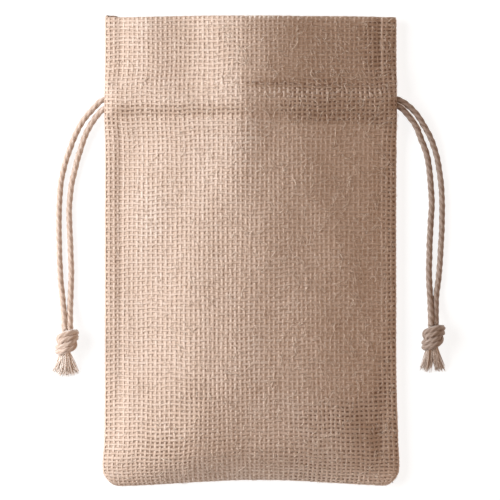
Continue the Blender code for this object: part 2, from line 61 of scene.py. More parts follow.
# one socket of a material: values add Math nodes, colours and vectors take Mix and Vector Math
class Wire:
    def __init__(self, tree, socket=None):
        self.tree = tree
        self.socket = socket

    # any node: its settings are set first, then its sockets get values or links
    def node(self, kind, settings, inputs, output=0):
        item = self.tree.nodes.new("ShaderNode" + kind)
        for name, value in settings.items():
            setattr(item, name, value)
        for name, value in inputs.items():
            if isinstance(value, Wire):
                self.tree.links.new(value.socket, item.inputs[name])
            else:
                item.inputs[name].default_value = value
        return Wire(self.tree, item.outputs[output] if len(item.outputs) else None)

    def maths(self, operation, a, b):
        return self.node("Math", dict(operation=operation), {0: a, 1: b})

    def __add__(self, other):
        return self.maths("ADD", self, other)

    def __mul__(self, other):
        return self.maths("MULTIPLY", self, other)

    def __sub__(self, other):
        return self.maths("SUBTRACT", self, other)

    def __rsub__(self, other):
        return self.maths("SUBTRACT", other, self)

    __radd__ = __add__
    __rmul__ = __mul__

    # from 0 at low to 1 at high
    def between(self, low, high):
        return self.node("MapRange", dict(clamp=True), {"Value": self, "From Min": low, "From Max": high})

    # this much of colour b over colour a
    def mixed(self, a, b):
        return self.node("Mix", dict(data_type="RGBA"), {0: self, 6: a, 7: b}, 2)

    def scaled(self, factors):
        return self.node("VectorMath", dict(operation="MULTIPLY"), {0: self, 1: factors})

    def noise(self, scale, detail=2.0, roughness=0.5, distortion=0.0):
        inputs = {"Vector": self, "Scale": scale, "Detail": detail, "Roughness": roughness,
                  "Distortion": distortion}
        return self.node("TexNoise", {}, inputs)


def newMaterial(name):
    material = bpy.data.materials.new(name)
    material.use_nodes = True
    material.node_tree.nodes.clear()
    return material, Wire(material.node_tree)


def finishMaterial(wire, color, roughness, height, strength, distance, sheen=0.0, sheenTint=(1, 1, 1)):
    normal = wire.node("Bump", {}, {"Strength": strength, "Distance": distance, "Height": height})
    inputs = {"Base Color": color, "Roughness": roughness, "Normal": normal, "Metallic": 0.0,
              "Specular IOR Level": 0.5, "Sheen Weight": sheen, "Sheen Roughness": 0.5,
              "Sheen Tint": (*sheenTint, 1.0)}
    shader = wire.node("BsdfPrincipled", {}, inputs)
    wire.node("OutputMaterial", {}, {"Surface": shader})


yarnLook = dict(
    light=(0.610, 0.455, 0.366, 1.0),
    warm=(0.545, 0.385, 0.290, 1.0),
    dark=(0.430, 0.285, 0.200, 1.0),
    pale=(0.740, 0.610, 0.520, 1.0),
    # painted highlight: the colour of yarns where they catch the light
    paintedHighlight=(0.950, 0.850, 0.760, 1.0),
    streaks=(0.30, 2.6),      # along and round the yarn, for each mm
    finer=(3.1, 2.6),         # how much finer the single fibres are, along and round
    paleFrom=(0.52, 0.72),    # where a streak starts to be pale, and where it is all pale
    darkFrom=(0.44, 0.26),
    darkShare=0.55,
    patches=90.0,             # of colour over the cloth, for each metre
    warmFrom=(0.45, 0.72),
    warmShare=0.35,
    roughness=0.72,
    polish=0.2,               # how much smoother the streaks are
    bump=0.5,
    bumpDepth=0.2,
    sheen=0.2,
)


# spun fibres: streaks along each yarn, patches over the cloth, and the tone that a mesh gives each
# point, from -1 for dark over 0, 1 and 2 for warm, light and pale to 3 for bright; tones below 0
# are mostly painted shade, tones above 1 partly and above 2 wholly painted highlight
def makeYarnMaterial(name, look):
    material, wire = newMaterial(name)
    yarn = wire.node("UVMap", dict(uv_map="yarn"), {})
    tone = wire.node("Attribute", dict(attribute_name="tone"), {}, "Fac")
    place = wire.node("TexCoord", {}, {}, "Object")
    along, around = look["streaks"]
    finerAlong, finerAround = look["finer"]
    streaks = yarn.scaled((along, around, 1.0)).noise(1.0, 3.0, 0.62, 0.6)
    fine = yarn.scaled((along * finerAlong, around * finerAround, 1.0)).noise(1.0, 2.0, 0.55)
    patches = place.noise(look["patches"], 2.0, 0.5)
    color = tone.between(0.0, 1.0).mixed(look["warm"], look["light"])
    color = tone.between(0.0, -1.0).mixed(color, look["dark"])
    color = (tone.between(1.0, 2.0) * 0.8).mixed(color, look["pale"])
    color = streaks.between(*look["paleFrom"]).mixed(color, look["pale"])
    color = tone.between(2.0, 3.0).mixed(color, look["paintedHighlight"])
    color = (fine.between(*look["darkFrom"]) * look["darkShare"]).mixed(color, look["dark"])
    color = (patches.between(*look["warmFrom"]) * look["warmShare"]).mixed(color, look["warm"])
    height = streaks * 0.7 + fine * 0.5
    finishMaterial(wire, color, look["roughness"] - streaks * look["polish"], height, look["bump"],
                   look["bumpDepth"] * mm, look["sheen"], (1.0, 0.98, 0.96))
    return material


backingLook = dict(
    color=(0.620, 0.458, 0.355, 1.0),
    grainy=(0.520, 0.368, 0.278, 1.0),
    # painted shade, for holes that lie open and deep
    dark=(0.270, 0.168, 0.115, 1.0),
    fibres=(0.470, 0.328, 0.242, 1.0),     # where it is matted
    grain=1500.0,
    patches=90.0,
    roughness=0.95,
    bump=0.6,
    bumpDepth=0.2,
)


# the matted fibres between the yarns, and painted shade where the holes lie open and deep
def makeBackingMaterial(name, look):
    material, wire = newMaterial(name)
    place = wire.node("TexCoord", {}, {}, "Object")
    grain = place.noise(look["grain"], 3.0, 0.6)
    patches = place.noise(look["patches"], 2.0)
    tone = wire.node("Attribute", dict(attribute_name="tone"), {}, "Fac")
    color = grain.between(0.35, 0.62).mixed(look["grainy"], look["color"])
    color = (patches.between(0.4, 0.7) * 0.4).mixed(color, look["color"])
    # the tone holds matted fibres, painted shade in open holes, and the front's painted light and shade
    color = (tone.between(0.0, 1.0) * 0.6).mixed(color, look["fibres"])
    # painted shade where the holes lie open
    color = tone.between(0.0, -1.0).mixed(color, look["dark"])
    finishMaterial(wire, color, look["roughness"] - grain * 0.05, grain, look["bump"],
                   look["bumpDepth"] * mm)
    return material


# the sack's form, as its solid has it
sack = dict(
    bottomY=-114.0, mouthY=114.0, cornerRadius=7.5,
    foldRound=2.1, foldTip=0.35,                  # the bottom fold's half round, and half its edge
    bellyRise=17.0, bellyFullness=0.75,           # how soon and how full the front rises from it
    leftSoftness=0.58,                            # the left side is less round than the right
    backRise=15.0, sideRise=20.0,                 # the back lies flat this far in from its edges
    foldsInset=14.0,                              # and the folds are full this far in
    bottomArch=3.05, archMiddle=4.0, archReach=76.0, archFade=42.0,
    seamInset=7.6, seamDepth=0.7, seamWidth=1.3, seamFade=40.0,
    creaseFree=6.0, creaseFull=14.0,              # from the channel's middle: no crease, and all of it
    lowerStitch=64.1, upperStitch=80.2, stitchDepth=0.75, stitchWidth=1.8,
    channelPuff=1.0, channelFlank=0.4,            # the cloth swells between the stitches, and beside them
    headingPuff=0.8, headingFrom=34.0, headingTo=8.0,
    neckPuff=0.5, neckFrom=22.0, neckTo=6.0, puffReach=5.0,
    faceGirth=157.0,                              # of one face, from side edge to side edge
)
# how far the rim dips below the mouth's height
rimDip = dict(front=1.22, ridge=0.35, ridgeMiddle=10.0, ridgeReach=14.0, back=1.9, backCorner=1.6,
              ripple=0.18, rippleLength=11.0, fadeFrom=100.0)
# y, half width to the left and right, underside and top of the side edge, top of the belly,
# place of the soft ridge along the belly, how round it is, and how much of it comes to a crease
sectionColumns = ("y", "left", "right", "low", "high", "crown", "ridge", "soft", "crease")
sectionRows = np.array((
    (-114.0, 70.4, 70.8, 1.3, 5.5, 17.0, -26.0, 1.10, 0.0),
    (-104.0, 71.6, 72.0, 1.3, 5.5, 22.0, -27.0, 1.00, 0.0),
    (-92.0, 70.8, 71.5, 1.4, 5.7, 24.3, -27.0, 1.00, 0.0),
    (-60.0, 70.5, 70.6, 1.4, 5.8, 23.5, -9.0, 0.80, 0.0),
    (-20.0, 70.5, 70.5, 1.4, 5.8, 22.3, -4.0, 0.66, 0.0),
    (25.0, 70.5, 70.5, 1.4, 5.8, 24.0, 0.8, 0.54, 0.0),
    (52.0, 70.4, 70.6, 1.4, 6.2, 25.6, -0.5, 0.36, 0.07),
    (64.0, 70.7, 70.8, 1.2, 9.6, 28.0, -2.8, 0.28, 0.15),
    (80.0, 70.6, 70.7, 1.2, 9.6, 28.4, -3.2, 0.28, 0.18),
    (89.5, 70.4, 70.6, 1.5, 6.8, 28.4, -3.2, 0.36, 0.20),
    (114.0, 70.4, 70.6, 1.6, 6.6, 27.2, -3.2, 0.38, 0.20),
))
# folds pressed into the front: from one end to the other, height, half width
foldRows = (
    (-50.0, 112.0, -49.0, 86.0, 1.2, 9.0),       # swell at the heading's left
    (-28.0, 116.0, -28.5, 84.0, -2.4, 12.0),     # hollow left of the heading's ridge
    (37.0, 116.0, 34.0, 86.0, -0.7, 11.0),       # shallow hollow right of it
    (-3.0, 57.0, -6.5, 34.0, 1.1, 11.0),         # ridge runs on below the channel
    (-61.5, 40.0, -61.5, -20.0, -1.0, 10.0),     # hollow beside the left seam
    (-27.0, 20.0, -30.0, -60.0, 0.6, 12.0),
    (-25.0, -45.0, -27.0, -85.0, 0.7, 8.0),      # ridge runs down to the left
    (30.0, 32.0, 36.5, 10.0, 0.8, 8.5),
    (46.5, -4.0, 50.0, -26.0, 1.0, 8.5),
    (31.0, -60.0, 29.0, -90.0, 1.0, 10.5),
    (42.0, -50.0, 43.0, -80.0, 1.0, 10.5),
    (-57.5, -66.0, -65.5, -98.0, 0.9, 5.0),      # pulled to the left bottom corner
    (-44.0, -80.0, -55.0, -104.0, -0.7, 6.0),
    (68.0, -58.0, 63.0, -97.0, -1.2, 4.2),       # pulled to the right bottom corner
    (46.0, -88.0, 54.0, -104.0, 0.7, 9.0),
    (54.0, -80.0, 66.0, -94.0, -0.8, 4.5),
    (-53.0, -97.0, -31.0, -53.0, 0.4, 8.0),      # ridge across the left bottom corner
)
bottomY, mouthY = sack["bottomY"], sack["mouthY"]
faceGirth = sack["faceGirth"]
channelMiddle = (sack["lowerStitch"] + sack["upperStitch"]) / 2


def smooth(value):
    value = np.clip(value, 0.0, 1.0)
    return value * value * (3.0 - 2.0 * value)


# from 0 at start to 1 at end, which may lie either way
def ramp(value, start, end):
    return smooth((value - start) / (end - start))


# 1 between start and end, and 0 an edge further out
def band(value, start, end, edge):
    return ramp(value, start - edge, start) * ramp(value, end + edge, end)


# 1 at its middle, and less with the distance
def stripe(value, middle, reach):
    return np.exp(-((value - middle) / reach) ** 2)


# a smooth curve through one column of the sections
def section(column, y):
    heights = sectionRows[:, 0]
    values = sectionRows[:, sectionColumns.index(column)]
    y = np.clip(y, heights[0], heights[-1])
    k = np.clip(np.searchsorted(heights, y) - 1, 0, len(heights) - 2)
    before, after = np.maximum(k - 1, 0), np.minimum(k + 2, len(heights) - 1)
    span = heights[k + 1] - heights[k]
    t = (y - heights[k]) / span
    startSlope = (values[k + 1] - values[before]) / (heights[k + 1] - heights[before])
    endSlope = (values[after] - values[k]) / (heights[after] - heights[k])
    return ((2 * t ** 3 - 3 * t ** 2 + 1) * values[k] + (t ** 3 - 2 * t ** 2 + t) * span * startSlope
            + (3 * t ** 2 - 2 * t ** 3) * values[k + 1] + (t ** 3 - t ** 2) * span * endSlope)


def edgeHalf(y):
    half = (section("high", y) - section("low", y)) / 2
    above = np.clip((y - bottomY) / sack["foldRound"], 0.0, 1.0)
    return sack["foldTip"] + (half - sack["foldTip"]) * np.sqrt(1 - (1 - above) ** 2)


def edgeMiddle(y):
    return (section("high", y) + section("low", y)) / 2


def fromEdge(x, y):
    return np.minimum(x + section("left", y), section("right", y) - x)


def foldHeight(x, y):
    total = np.zeros(np.broadcast(x, y).shape)
    for x0, y0, x1, y1, height, width in foldRows:
        length = (x1 - x0) ** 2 + (y1 - y0) ** 2
        along = np.clip(((x - x0) * (x1 - x0) + (y - y0) * (y1 - y0)) / length, 0.0, 1.0)
        off = np.hypot(x - x0 - along * (x1 - x0), y - y0 - along * (y1 - y0))
        total += height * stripe(off, 0.0, width)
    return total


# the small swells that all such cloth has
def unevenness(x, y):
    return 0.3 * np.sin(x / 9 + 1.3) * np.sin(y / 13 + 0.4) + 0.2 * np.sin(x / 5.3 - y / 17)


def seams(x, y):
    lower, upper = sack["lowerStitch"], sack["upperStitch"]
    inset = np.where(x < 0, sack["seamInset"], sack["seamInset"] + 1.0)
    crease = stripe(fromEdge(x, y), inset, sack["seamWidth"])
    crease *= ramp(np.abs(y - channelMiddle), sack["creaseFree"], sack["creaseFull"])
    stitch = stripe(y, lower, sack["stitchWidth"]) + stripe(y, upper, sack["stitchWidth"])
    between = np.clip((y - lower) / (upper - lower), 0.0, 1.0)
    above, below = y - upper, lower - y
    heading = smooth(above / sack["puffReach"]) * ramp(above, sack["headingFrom"], sack["headingTo"])
    neck = smooth(below / sack["puffReach"]) * ramp(below, sack["neckFrom"], sack["neckTo"])
    puff = sack["channelPuff"] * smooth(between / sack["channelFlank"]) * (1 - between ** 3)
    puff = puff + sack["headingPuff"] * heading * ramp(x, -5.0, 10.0) + sack["neckPuff"] * neck
    swell = (puff - sack["stitchDepth"] * stitch) * ramp(fromEdge(x, y), 0.0, 6.0)
    depth = sack["seamDepth"] * np.where(x < 0, 0.8, 0.12 + 0.88 * ramp(y, 60.0, 72.0))
    return swell - depth * crease * smooth((y - bottomY) / sack["seamFade"])


# the tables below paint light and shade into the yarns on the front: how much lighter or darker they are
paintedBands = (      # how much, from and to in y, soft edge, then where in x it starts and is full
    (-0.85, 65.6, 69.8, 1.6, -68.0, -62.0),      # painted shade on the flank above the lower stitches
    (0.51, 65.6, 69.8, 1.6, -8.0, 2.0),
    (0.7, 65.0, 70.5, 1.0, 57.0, 61.0),
    (-0.5, 60.6, 64.0, 0.8, -30.0, -38.0),       # and below them
    (-1.1, 60.6, 64.0, 0.8, 10.0, 18.0),
    (-1.7, 78.8, 81.2, 0.6, -8.0, 2.0),          # painted shade in the groove of the upper stitches
    (0.6, 79.6, 80.8, 0.6, 2.0, -8.0),
    (-1.35, 65.0, 200.0, 5.0, 8.0, 34.0),        # painted shade over channel and heading, darker to the right
    (0.9, 111.7, 116.0, 0.5, -200.0, -199.0),    # painted highlight on the rim, where its bumps catch the light
    (2.6, 111.7, 116.0, 0.5, -8.0, 2.0),
    (-0.4, -200.0, 200.0, 1.0, -64.5, -66.5),    # painted shade outside the left seam
)
paintedLines = (      # how much, its place in x, reach, how much of it stays low down, and where it is full
    (-0.35, -64.9, 0.7, 1.0, 0.0, 1.0),          # painted shade on the left seam's two rows, painted highlight on its ridge
    (0.35, -63.7, 0.5, 1.0, 0.0, 1.0),
    (-0.35, -62.4, 0.7, 1.0, 0.0, 1.0),
    (1.2, 63.3, 0.6, 0.12, 55.0, 65.0),          # painted highlight on the right seam's ridge, painted shade beside it
    (-0.9, 60.6, 1.4, 0.12, 55.0, 65.0),
    (-0.8, 58.5, 3.0, 0.0, 84.0, 88.0),
)
paintedPatches = (      # painted light and shade in soft patches: middle, reach, how much
    (-40.0, -88.0, 18.0, 18.0, -0.75),
    (-26.0, -70.0, 8.0, 11.0, -0.75),
    (-43.0, -94.0, 10.0, 5.0, -0.5),
    (-58.0, 98.0, 12.0, 14.0, -0.2),
    (20.0, -15.0, 14.0, 18.0, 0.3),
    (-15.0, 44.0, 18.0, 16.0, 0.4),
    (16.0, -80.0, 24.0, 20.0, 0.7),
    (4.0, -108.0, 30.0, 7.0, 0.45),
    (68.0, 0.0, 3.0, 100.0, -0.65),
    (60.0, -87.0, 9.0, 9.0, -0.6),
    (-8.0, 98.0, 14.0, 12.0, -0.45),
    (52.0, 42.0, 16.0, 26.0, -0.3),
    (-50.0, -104.0, 14.0, 8.0, -0.4),
    (-22.0, -100.0, 14.0, 6.0, 0.3),
    (37.0, -95.0, 13.0, 8.0, 0.9),
    (67.0, -98.0, 4.0, 14.0, -1.0),
    (-48.0, 14.0, 9.0, 15.0, 0.85),
    (1.0, -46.0, 5.0, 13.0, 0.8),
    (40.0, -8.0, 7.0, 46.0, -0.5),
    (-29.0, 98.0, 6.0, 18.0, -0.5),
    (1.0, 56.0, 5.0, 20.0, 0.75),
    (-9.0, 80.0, 6.0, 5.0, 0.5),
    (17.0, 70.0, 10.0, 5.0, -0.4),
    (16.0, 85.0, 16.0, 4.0, -0.5),
    (-52.0, 85.0, 8.0, 5.0, -0.3),
    (54.0, 111.5, 6.0, 1.6, 1.0),
    (-48.0, 109.0, 9.0, 3.0, 0.8),
    (30.0, 80.5, 14.0, 3.0, -0.5),
    (-66.5, 78.5, 4.0, 4.0, 0.8),
    (48.0, 98.0, 22.0, 12.0, -0.3),
)


# painted light and shade on the front: the ticks share paints highlights on warps under the upper
# stitches, where they catch the light, and shade on the wefts there; the right-side share paints
# the tone of the sack's right
def paintedLightAndShade(x, y, paintedTicks=0.0, paintedRightSide=0.0):
    total = paintedRightSide * (ramp(x, -8.0, 2.0) + 0.7 * np.maximum(mattedAndHoleShade(x, y), 0.0))
    total = total + paintedTicks * band(y, 74.2, 77.8, 0.6) * ramp(x, -6.0, 18.0)
    for share, low, high, edge, start, full in paintedBands:
        total = total + share * band(y, low, high, edge) * ramp(x, start, full)
    for share, middle, reach, lowDown, start, full in paintedLines:
        total = total + share * stripe(x, middle, reach) * (lowDown + (1 - lowDown) * ramp(y, start, full))
    for middleX, middleY, reachX, reachY, share in paintedPatches:
        total = total + share * stripe(x, middleX, reachX) * stripe(y, middleY, reachY)
    return total


# where loose fibres fill the holes of the weave, and below 0 painted shade where the holes are open
def mattedAndHoleShade(x, y):
    fibres = band(x, 6.0, 54.0, 12.0) * band(y, -58.0, 108.0, 24.0) * (1 - 0.7 * band(y, 66.0, 78.0, 2.0))
    edge = ramp(x, 54.0, 60.0) * ramp(y, -60.0, -30.0)
    holeShade = 0.85 * ramp(x, 10.0, 30.0) + 0.6 * ramp(y, -50.0, -70.0) * ramp(x, -25.0, 5.0)
    return fibres - holeShade * (1 - fibres) * (1 - 0.6 * edge)


# where the round side edge meets a face
turnEnd = dict(front=math.radians(64.0), back=math.radians(90.0))


def front(x, y):
    ridge = section("ridge", y)
    side = np.where(x > ridge, 1, -1)
    half = edgeHalf(y)
    width = np.where(side < 0, section("left", y), section("right", y))
    width = width - half * (1 - math.cos(turnEnd["front"]))
    share = np.clip((x - ridge) / (side * width - ridge), 0.0, 1.0)
    soft = section("soft", y) * np.where(side < 0, sack["leftSoftness"], 1.0)
    peak = 1 - (np.hypot(share, soft) - soft) / (np.hypot(1, soft) - soft)
    peak += section("crease", y) * (1 - share - peak)
    edgeTop = edgeMiddle(y) + half * math.sin(turnEnd["front"])
    rise = np.clip((y - bottomY) / sack["bellyRise"], 0.0, 1.0)
    rise = (1 - (1 - rise) ** 2) ** sack["bellyFullness"]
    inside = smooth(fromEdge(x, y) / sack["foldsInset"])
    belly = (section("crown", y) - edgeTop) * peak
    folds = inside * (foldHeight(x, y) + unevenness(x, y))
    return edgeTop + rise * (belly + folds) + seams(x, y) * smooth(rise * 2)


def back(x, y):
    flat = smooth(fromEdge(x, y) / sack["sideRise"]) * smooth((y - bottomY) / sack["backRise"])
    return (edgeMiddle(y) - edgeHalf(y)) * (1 - flat)


# how far the cloth runs up from the bottom fold to each height, measured over the belly
bellyX = -22.0
heightSteps = bottomY + 300.0 * np.linspace(0.0, 1.0, 6001) ** 2
profile = front(np.full_like(heightSteps, bellyX), heightSteps)
clothRun = np.concatenate(([0.0], np.cumsum(np.hypot(np.diff(heightSteps), np.diff(profile)))))


def heightAt(run):
    return np.interp(run, clothRun, heightSteps)


def runAt(y):
    return np.interp(y, heightSteps, clothRun)


# a point of the outside: place goes from 0 at the left edge over the front to 1 at the right edge,
# and on to 2 over the back; run goes up from the bottom fold, and below 0 it is the other side
def skin(place, run):
    place = np.where(run < 0, 2 - place, place) % 2
    run = np.abs(run)
    y = heightAt(run)
    onFront = place <= 1
    share = np.where(onFront, place, 2 - place)
    half, middle = edgeHalf(y), edgeMiddle(y)
    left, right = section("left", y), section("right", y)
    last = np.where(onFront, turnEnd["front"], turnEnd["back"])
    corner = half * last / faceGirth
    side = np.where(share < 0.5, -1, 1)
    angle = last * np.clip(np.minimum(share, 1 - share) / corner, 0.0, 1.0)
    width = np.where(side < 0, left, right)
    inset = half * (1 - np.cos(last))
    x = (inset - left) + (share - corner) / (1 - 2 * corner) * (left + right - 2 * inset)
    atEdge = np.minimum(share, 1 - share) < corner
    z = np.where(onFront, front(x, y), back(x, y))
    x = np.where(atEdge, side * (width - half * (1 - np.cos(angle))), x)
    z = np.where(atEdge, middle + np.where(onFront, 1, -1) * half * np.sin(angle), z)
    radius = sack["cornerRadius"]
    outward = np.clip((np.abs(x) - width + radius) / radius, 0.0, 1.0)
    down = np.clip((bottomY + radius - y) / radius, 0.0, 1.0)
    x = np.where(outward > 0, side * (width - radius + radius * outward * np.sqrt(1 - down ** 2 / 2)), x)
    y = np.where(down > 0, bottomY + radius - radius * down * np.sqrt(1 - outward ** 2 / 2), y)
    arch = 0.5 * (1 + np.cos(math.pi * np.clip((x - sack["archMiddle"]) / sack["archReach"], -1, 1)))
    y = y + sack["bottomArch"] * arch * (1 - smooth((y - bottomY) / sack["archFade"]))
    frontDip = rimDip["front"] - rimDip["ridge"] * stripe(x, rimDip["ridgeMiddle"], rimDip["ridgeReach"])
    backDip = rimDip["back"] - rimDip["backCorner"] * ramp(x, -60.0, -67.0)
    ripple = rimDip["ripple"] * np.sin(x / rimDip["rippleLength"] + 0.6)
    y = y - (np.where(onFront, frontDip, backDip) + ripple) * ramp(y, rimDip["fadeFrom"], mouthY)
    return np.stack([x, y, z], axis=-1)


def unit(vectors):
    return vectors / np.maximum(np.linalg.norm(vectors, axis=-1, keepdims=True), 1e-9)


def skinNormal(place, run):
    across = skin(place + 0.003, run) - skin(place - 0.003, run)
    up = skin(place, run + 0.4) - skin(place, run - 0.4)
    return unit(np.cross(across, up))


# the burlap: yarns and their waves, and the turned-in heading
weave = dict(
    across=63,              # warps over each face
    rowsOut=106,            # wefts from the bottom fold to the rim
    rowsIn=23,              # and down inside, to the end of the turned-in heading
    halfThickness=0.17,
    wave=0.045,             # how far a yarn swings over and under
    unevenWave=0.22,
    wander=0.195,           # how far it strays from its straight line
    slubs=0.24,             # how much its width changes along it
    unevenThickness=0.12,
    wideRows=0.55,          # how much wider apart the rows lie round the bottom, and how far up
    wideReach=16.0,
    drift=0.3,              # how far the lines of the weave drift together
    rimRadius=0.72,         # of the turn over the rim
    channelDrop=2.5,        # how much deeper the inner layer lies behind the cord
)
# each kind of yarn: half width, how flat and how unlike one another, the lengths of its slow
# changes in mm, its tone, and the painted light and shade over the sack's right
warp = dict(halfWidth=0.67, flatness=0.72, unlike=0.13, sways=(47.0, 19.0, 7.3, 4.6),
            slubs=(31.0, 11.0, 5.1), thickness=(17.0, 6.0), tone=0.0, paintedRightSide=-0.35)
weft = dict(halfWidth=0.66, flatness=1.0, unlike=0.16, sways=(57.0, 21.0, 8.1, 4.7),
            slubs=(27.0, 9.0, 4.4), thickness=(15.0, 6.0), tone=-0.08, paintedRightSide=0.2)
warpPitch = 2.4             # mm from one warp to the next
slitCut = dict(low=66.5, high=75.0, back=1.4)     # the side seams are open here for the cords
# strength, turns round the sack, lean along it and start of the waves in which the weave drifts
sidewaysWaves = ((1.0, 3, 1.0, 0.0), (0.7, 5, -2.3, 1.1), (0.5, 9, 3.7, 0.4))
upwardWaves = ((1.0, 2, -1.3, 2.0), (0.7, 6, 2.9, 0.7), (0.5, 11, -1.7, 0.0))
driftLength = 41.0
depthOut = weave["halfThickness"] + weave["wave"]     # the cloth's middle below the outside
rimRadius = weave["rimRadius"]
rimStart = float(runAt(mouthY - depthOut - rimRadius))
pitch = rimStart / weave["rowsOut"]
runSteps = np.linspace(-12.0, rimStart + 80.0, 6000)
rowSteps = np.cumsum(1 / (1 + weave["wideRows"] * stripe(runSteps, 0.0, weave["wideReach"])))
rowSteps -= np.interp(0.0, runSteps, rowSteps)
rowSteps *= weave["rowsOut"] / np.interp(rimStart, runSteps, rowSteps)


def runOfRow(row):
    return np.interp(row, rowSteps, runSteps)


def drifting(waves, place, run):
    total = 0.0
    for strength, turns, lean, start in waves:
        total = total + strength * np.sin(2 * math.pi * turns * place + lean * run / driftLength + start)
    return weave["drift"] * total


# the weave isn't square: its lines drift together, but not at the side seams, bottom and rim
def drift(place, run):
    besideSeams = np.abs(np.sin(math.pi * place)) ** 0.5
    calm = ramp(run, 0.0, 12.0) * ramp(run, rimStart, rimStart - 12.0)
    sideways = drifting(sidewaysWaves, place, run) * besideSeams / faceGirth
    return sideways, drifting(upwardWaves, place, run) * calm


# a point of the cloth's middle plus lift along its normal; past the rim it runs down inside
def cloth(place, run, lift=0.0):
    sideways, upward = drift(place, run)
    place, run = place + sideways, run + upward
    turn = np.clip((run - rimStart) / rimRadius, 0.0, math.pi)
    inside = np.maximum(0.0, run - rimStart - math.pi * rimRadius)
    at = np.minimum(run, rimStart) - inside
    normal = skinNormal(place, at)
    y = heightAt(at)
    beside = np.minimum(place % 1, 1 - place % 1) * faceGirth
    drop = band(y, 65.0, 80.0, 3.0) * ramp(beside, 0.0, 12.0) * (inside > 0)
    depth = depthOut + rimRadius + weave["channelDrop"] * drop
    layer = unit(np.cos(turn)[..., None] * normal + np.sin(turn)[..., None] * np.array((0.0, 1.0, 0.0)))
    lift = np.broadcast_to(lift, run.shape)[..., None]
    return skin(place, at) - normal * depth[..., None] + layer * (rimRadius + lift), layer


# a mesh with a tone for each of its points becomes an object
def addPiece(name, mesh, tone, material):
    attribute = mesh.attributes.new("tone", "FLOAT", "POINT")
    attribute.data.foreach_set("value", tone.astype(np.float32).ravel())
    mesh.shade_smooth()
    mesh.materials.append(material)
    item = bpy.data.objects.new(name, mesh)
    scene.collection.objects.link(item)
    return item


yarnShift = 37.7      # mm along the streaks from one yarn to the next, so that no two look alike


# many tubes as one mesh: the middle of each ring, its two directions and its outline in them
def sweepMesh(name, centers, across, up, outline, material, tone):
    tubes, rings, sides = outline.shape[:3]
    places = centers[:, :, None] + outline[..., :1] * across[:, :, None] + outline[..., 1:] * up[:, :, None]
    places[..., 2] = np.maximum(places[..., 2], 0.02)     # nothing sinks into the floor
    ahead = centers[:, 1] - centers[:, 0]
    turned = np.einsum("ij,ij->i", np.cross(across[:, 0], up[:, 0]), ahead) < 0
    places[turned] = places[turned][:, :, ::-1]
    vertex = np.arange(tubes * rings * sides).reshape(tubes, rings, sides)
    beside = np.roll(vertex, -1, axis=2)
    quads = np.stack([vertex[:, :-1], beside[:, :-1], beside[:, 1:], vertex[:, 1:]], axis=-1)
    caps = np.concatenate([vertex[:, 0, ::-1], vertex[:, -1]])
    faces = quads.reshape(-1, 4).tolist() + caps.tolist()
    mesh = bpy.data.meshes.new(name)
    mesh.from_pydata((places.reshape(-1, 3) * mm).tolist(), [], faces)
    steps = np.linalg.norm(np.diff(centers, axis=1), axis=2)
    length = np.concatenate([np.zeros((tubes, 1)), np.cumsum(steps, axis=1)], axis=1)
    girth = 0.1 + 2 * np.pi * np.sqrt((outline[:, :, 0] ** 2).sum(axis=-1)).mean()
    tube = np.arange(tubes)[:, None, None, None]
    ring = np.arange(rings - 1)[:, None] + np.array((0, 0, 1, 1))      # of a face's four corners
    corner = np.arange(sides)[:, None] + np.array((0, 1, 1, 0))
    along = length[:, ring][:, :, None]
    yarn = np.zeros((tubes, rings - 1, sides, 4, 2))      # mm along and round each tube
    yarn[..., 0] = along + yarnShift * tube
    yarn[..., 1] = corner / sides * girth
    strip = np.zeros_like(yarn)      # a strip of the unit square for each tube
    strip[..., 0] = 0.01 + 0.98 * along / length[:, -1][:, None, None, None]
    strip[..., 1] = (tube + 0.08 + 0.84 * corner / sides) / tubes
    capYarn, capStrip = np.zeros((2, 2, tubes, sides, 2))
    turn = 2 * np.pi * np.arange(sides) / sides
    capYarn[..., 0] = yarnShift * tube[:, 0, 0]
    capStrip[..., 0] = np.array((0.005, 0.995))[:, None, None] + 0.003 * np.cos(turn)
    capStrip[..., 1] = (tube[:, 0, 0] + 0.5 + 0.3 * np.sin(turn)) / tubes
    for title, body, ends in (("OFBake", strip, capStrip), ("yarn", yarn, capYarn)):
        layer = mesh.uv_layers.new(name=title)
        layer.data.foreach_set("uv", np.concatenate([body.ravel(), ends.ravel()]).astype(np.float32))
    tone = tone if tone.ndim == 3 else tone[..., None]
    return addPiece(name, mesh, np.broadcast_to(tone, (tubes, rings, sides)), material)


# a slow change along each tube, as a sum of waves of these lengths
def wander(random, tubes, along, lengths, reach):
    total = np.zeros(along.shape)
    for length in lengths:
        phase = random.uniform(0, 2 * math.pi, (tubes, 1))
        stretch = random.uniform(0.8, 1.25, (tubes, 1))
        total += np.sin(2 * math.pi * along / (length * stretch) + phase)
    return total * reach / len(lengths)


# an oval of few sides; one of four lies flat on its side, and is made as wide as the others
def ovalRing(halfWidths, halfHeights, sides):
    halfTurn = 0.0
    if sides == 4:
        halfTurn, halfWidths, halfHeights = 0.5, halfWidths * 1.28, halfHeights * 1.2
    angle = 2 * math.pi * (np.arange(sides) + halfTurn) / sides
    across, up = halfWidths[..., None] * np.cos(angle), halfHeights[..., None] * np.sin(angle)
    return np.stack([across, up], axis=-1)


# the directions across and up of lines that lie on the cloth
def surfaceFrame(centers, normal):
    ahead = unit(np.gradient(centers, axis=1))
    across = unit(np.cross(normal, ahead))
    return across, unit(np.cross(ahead, across))


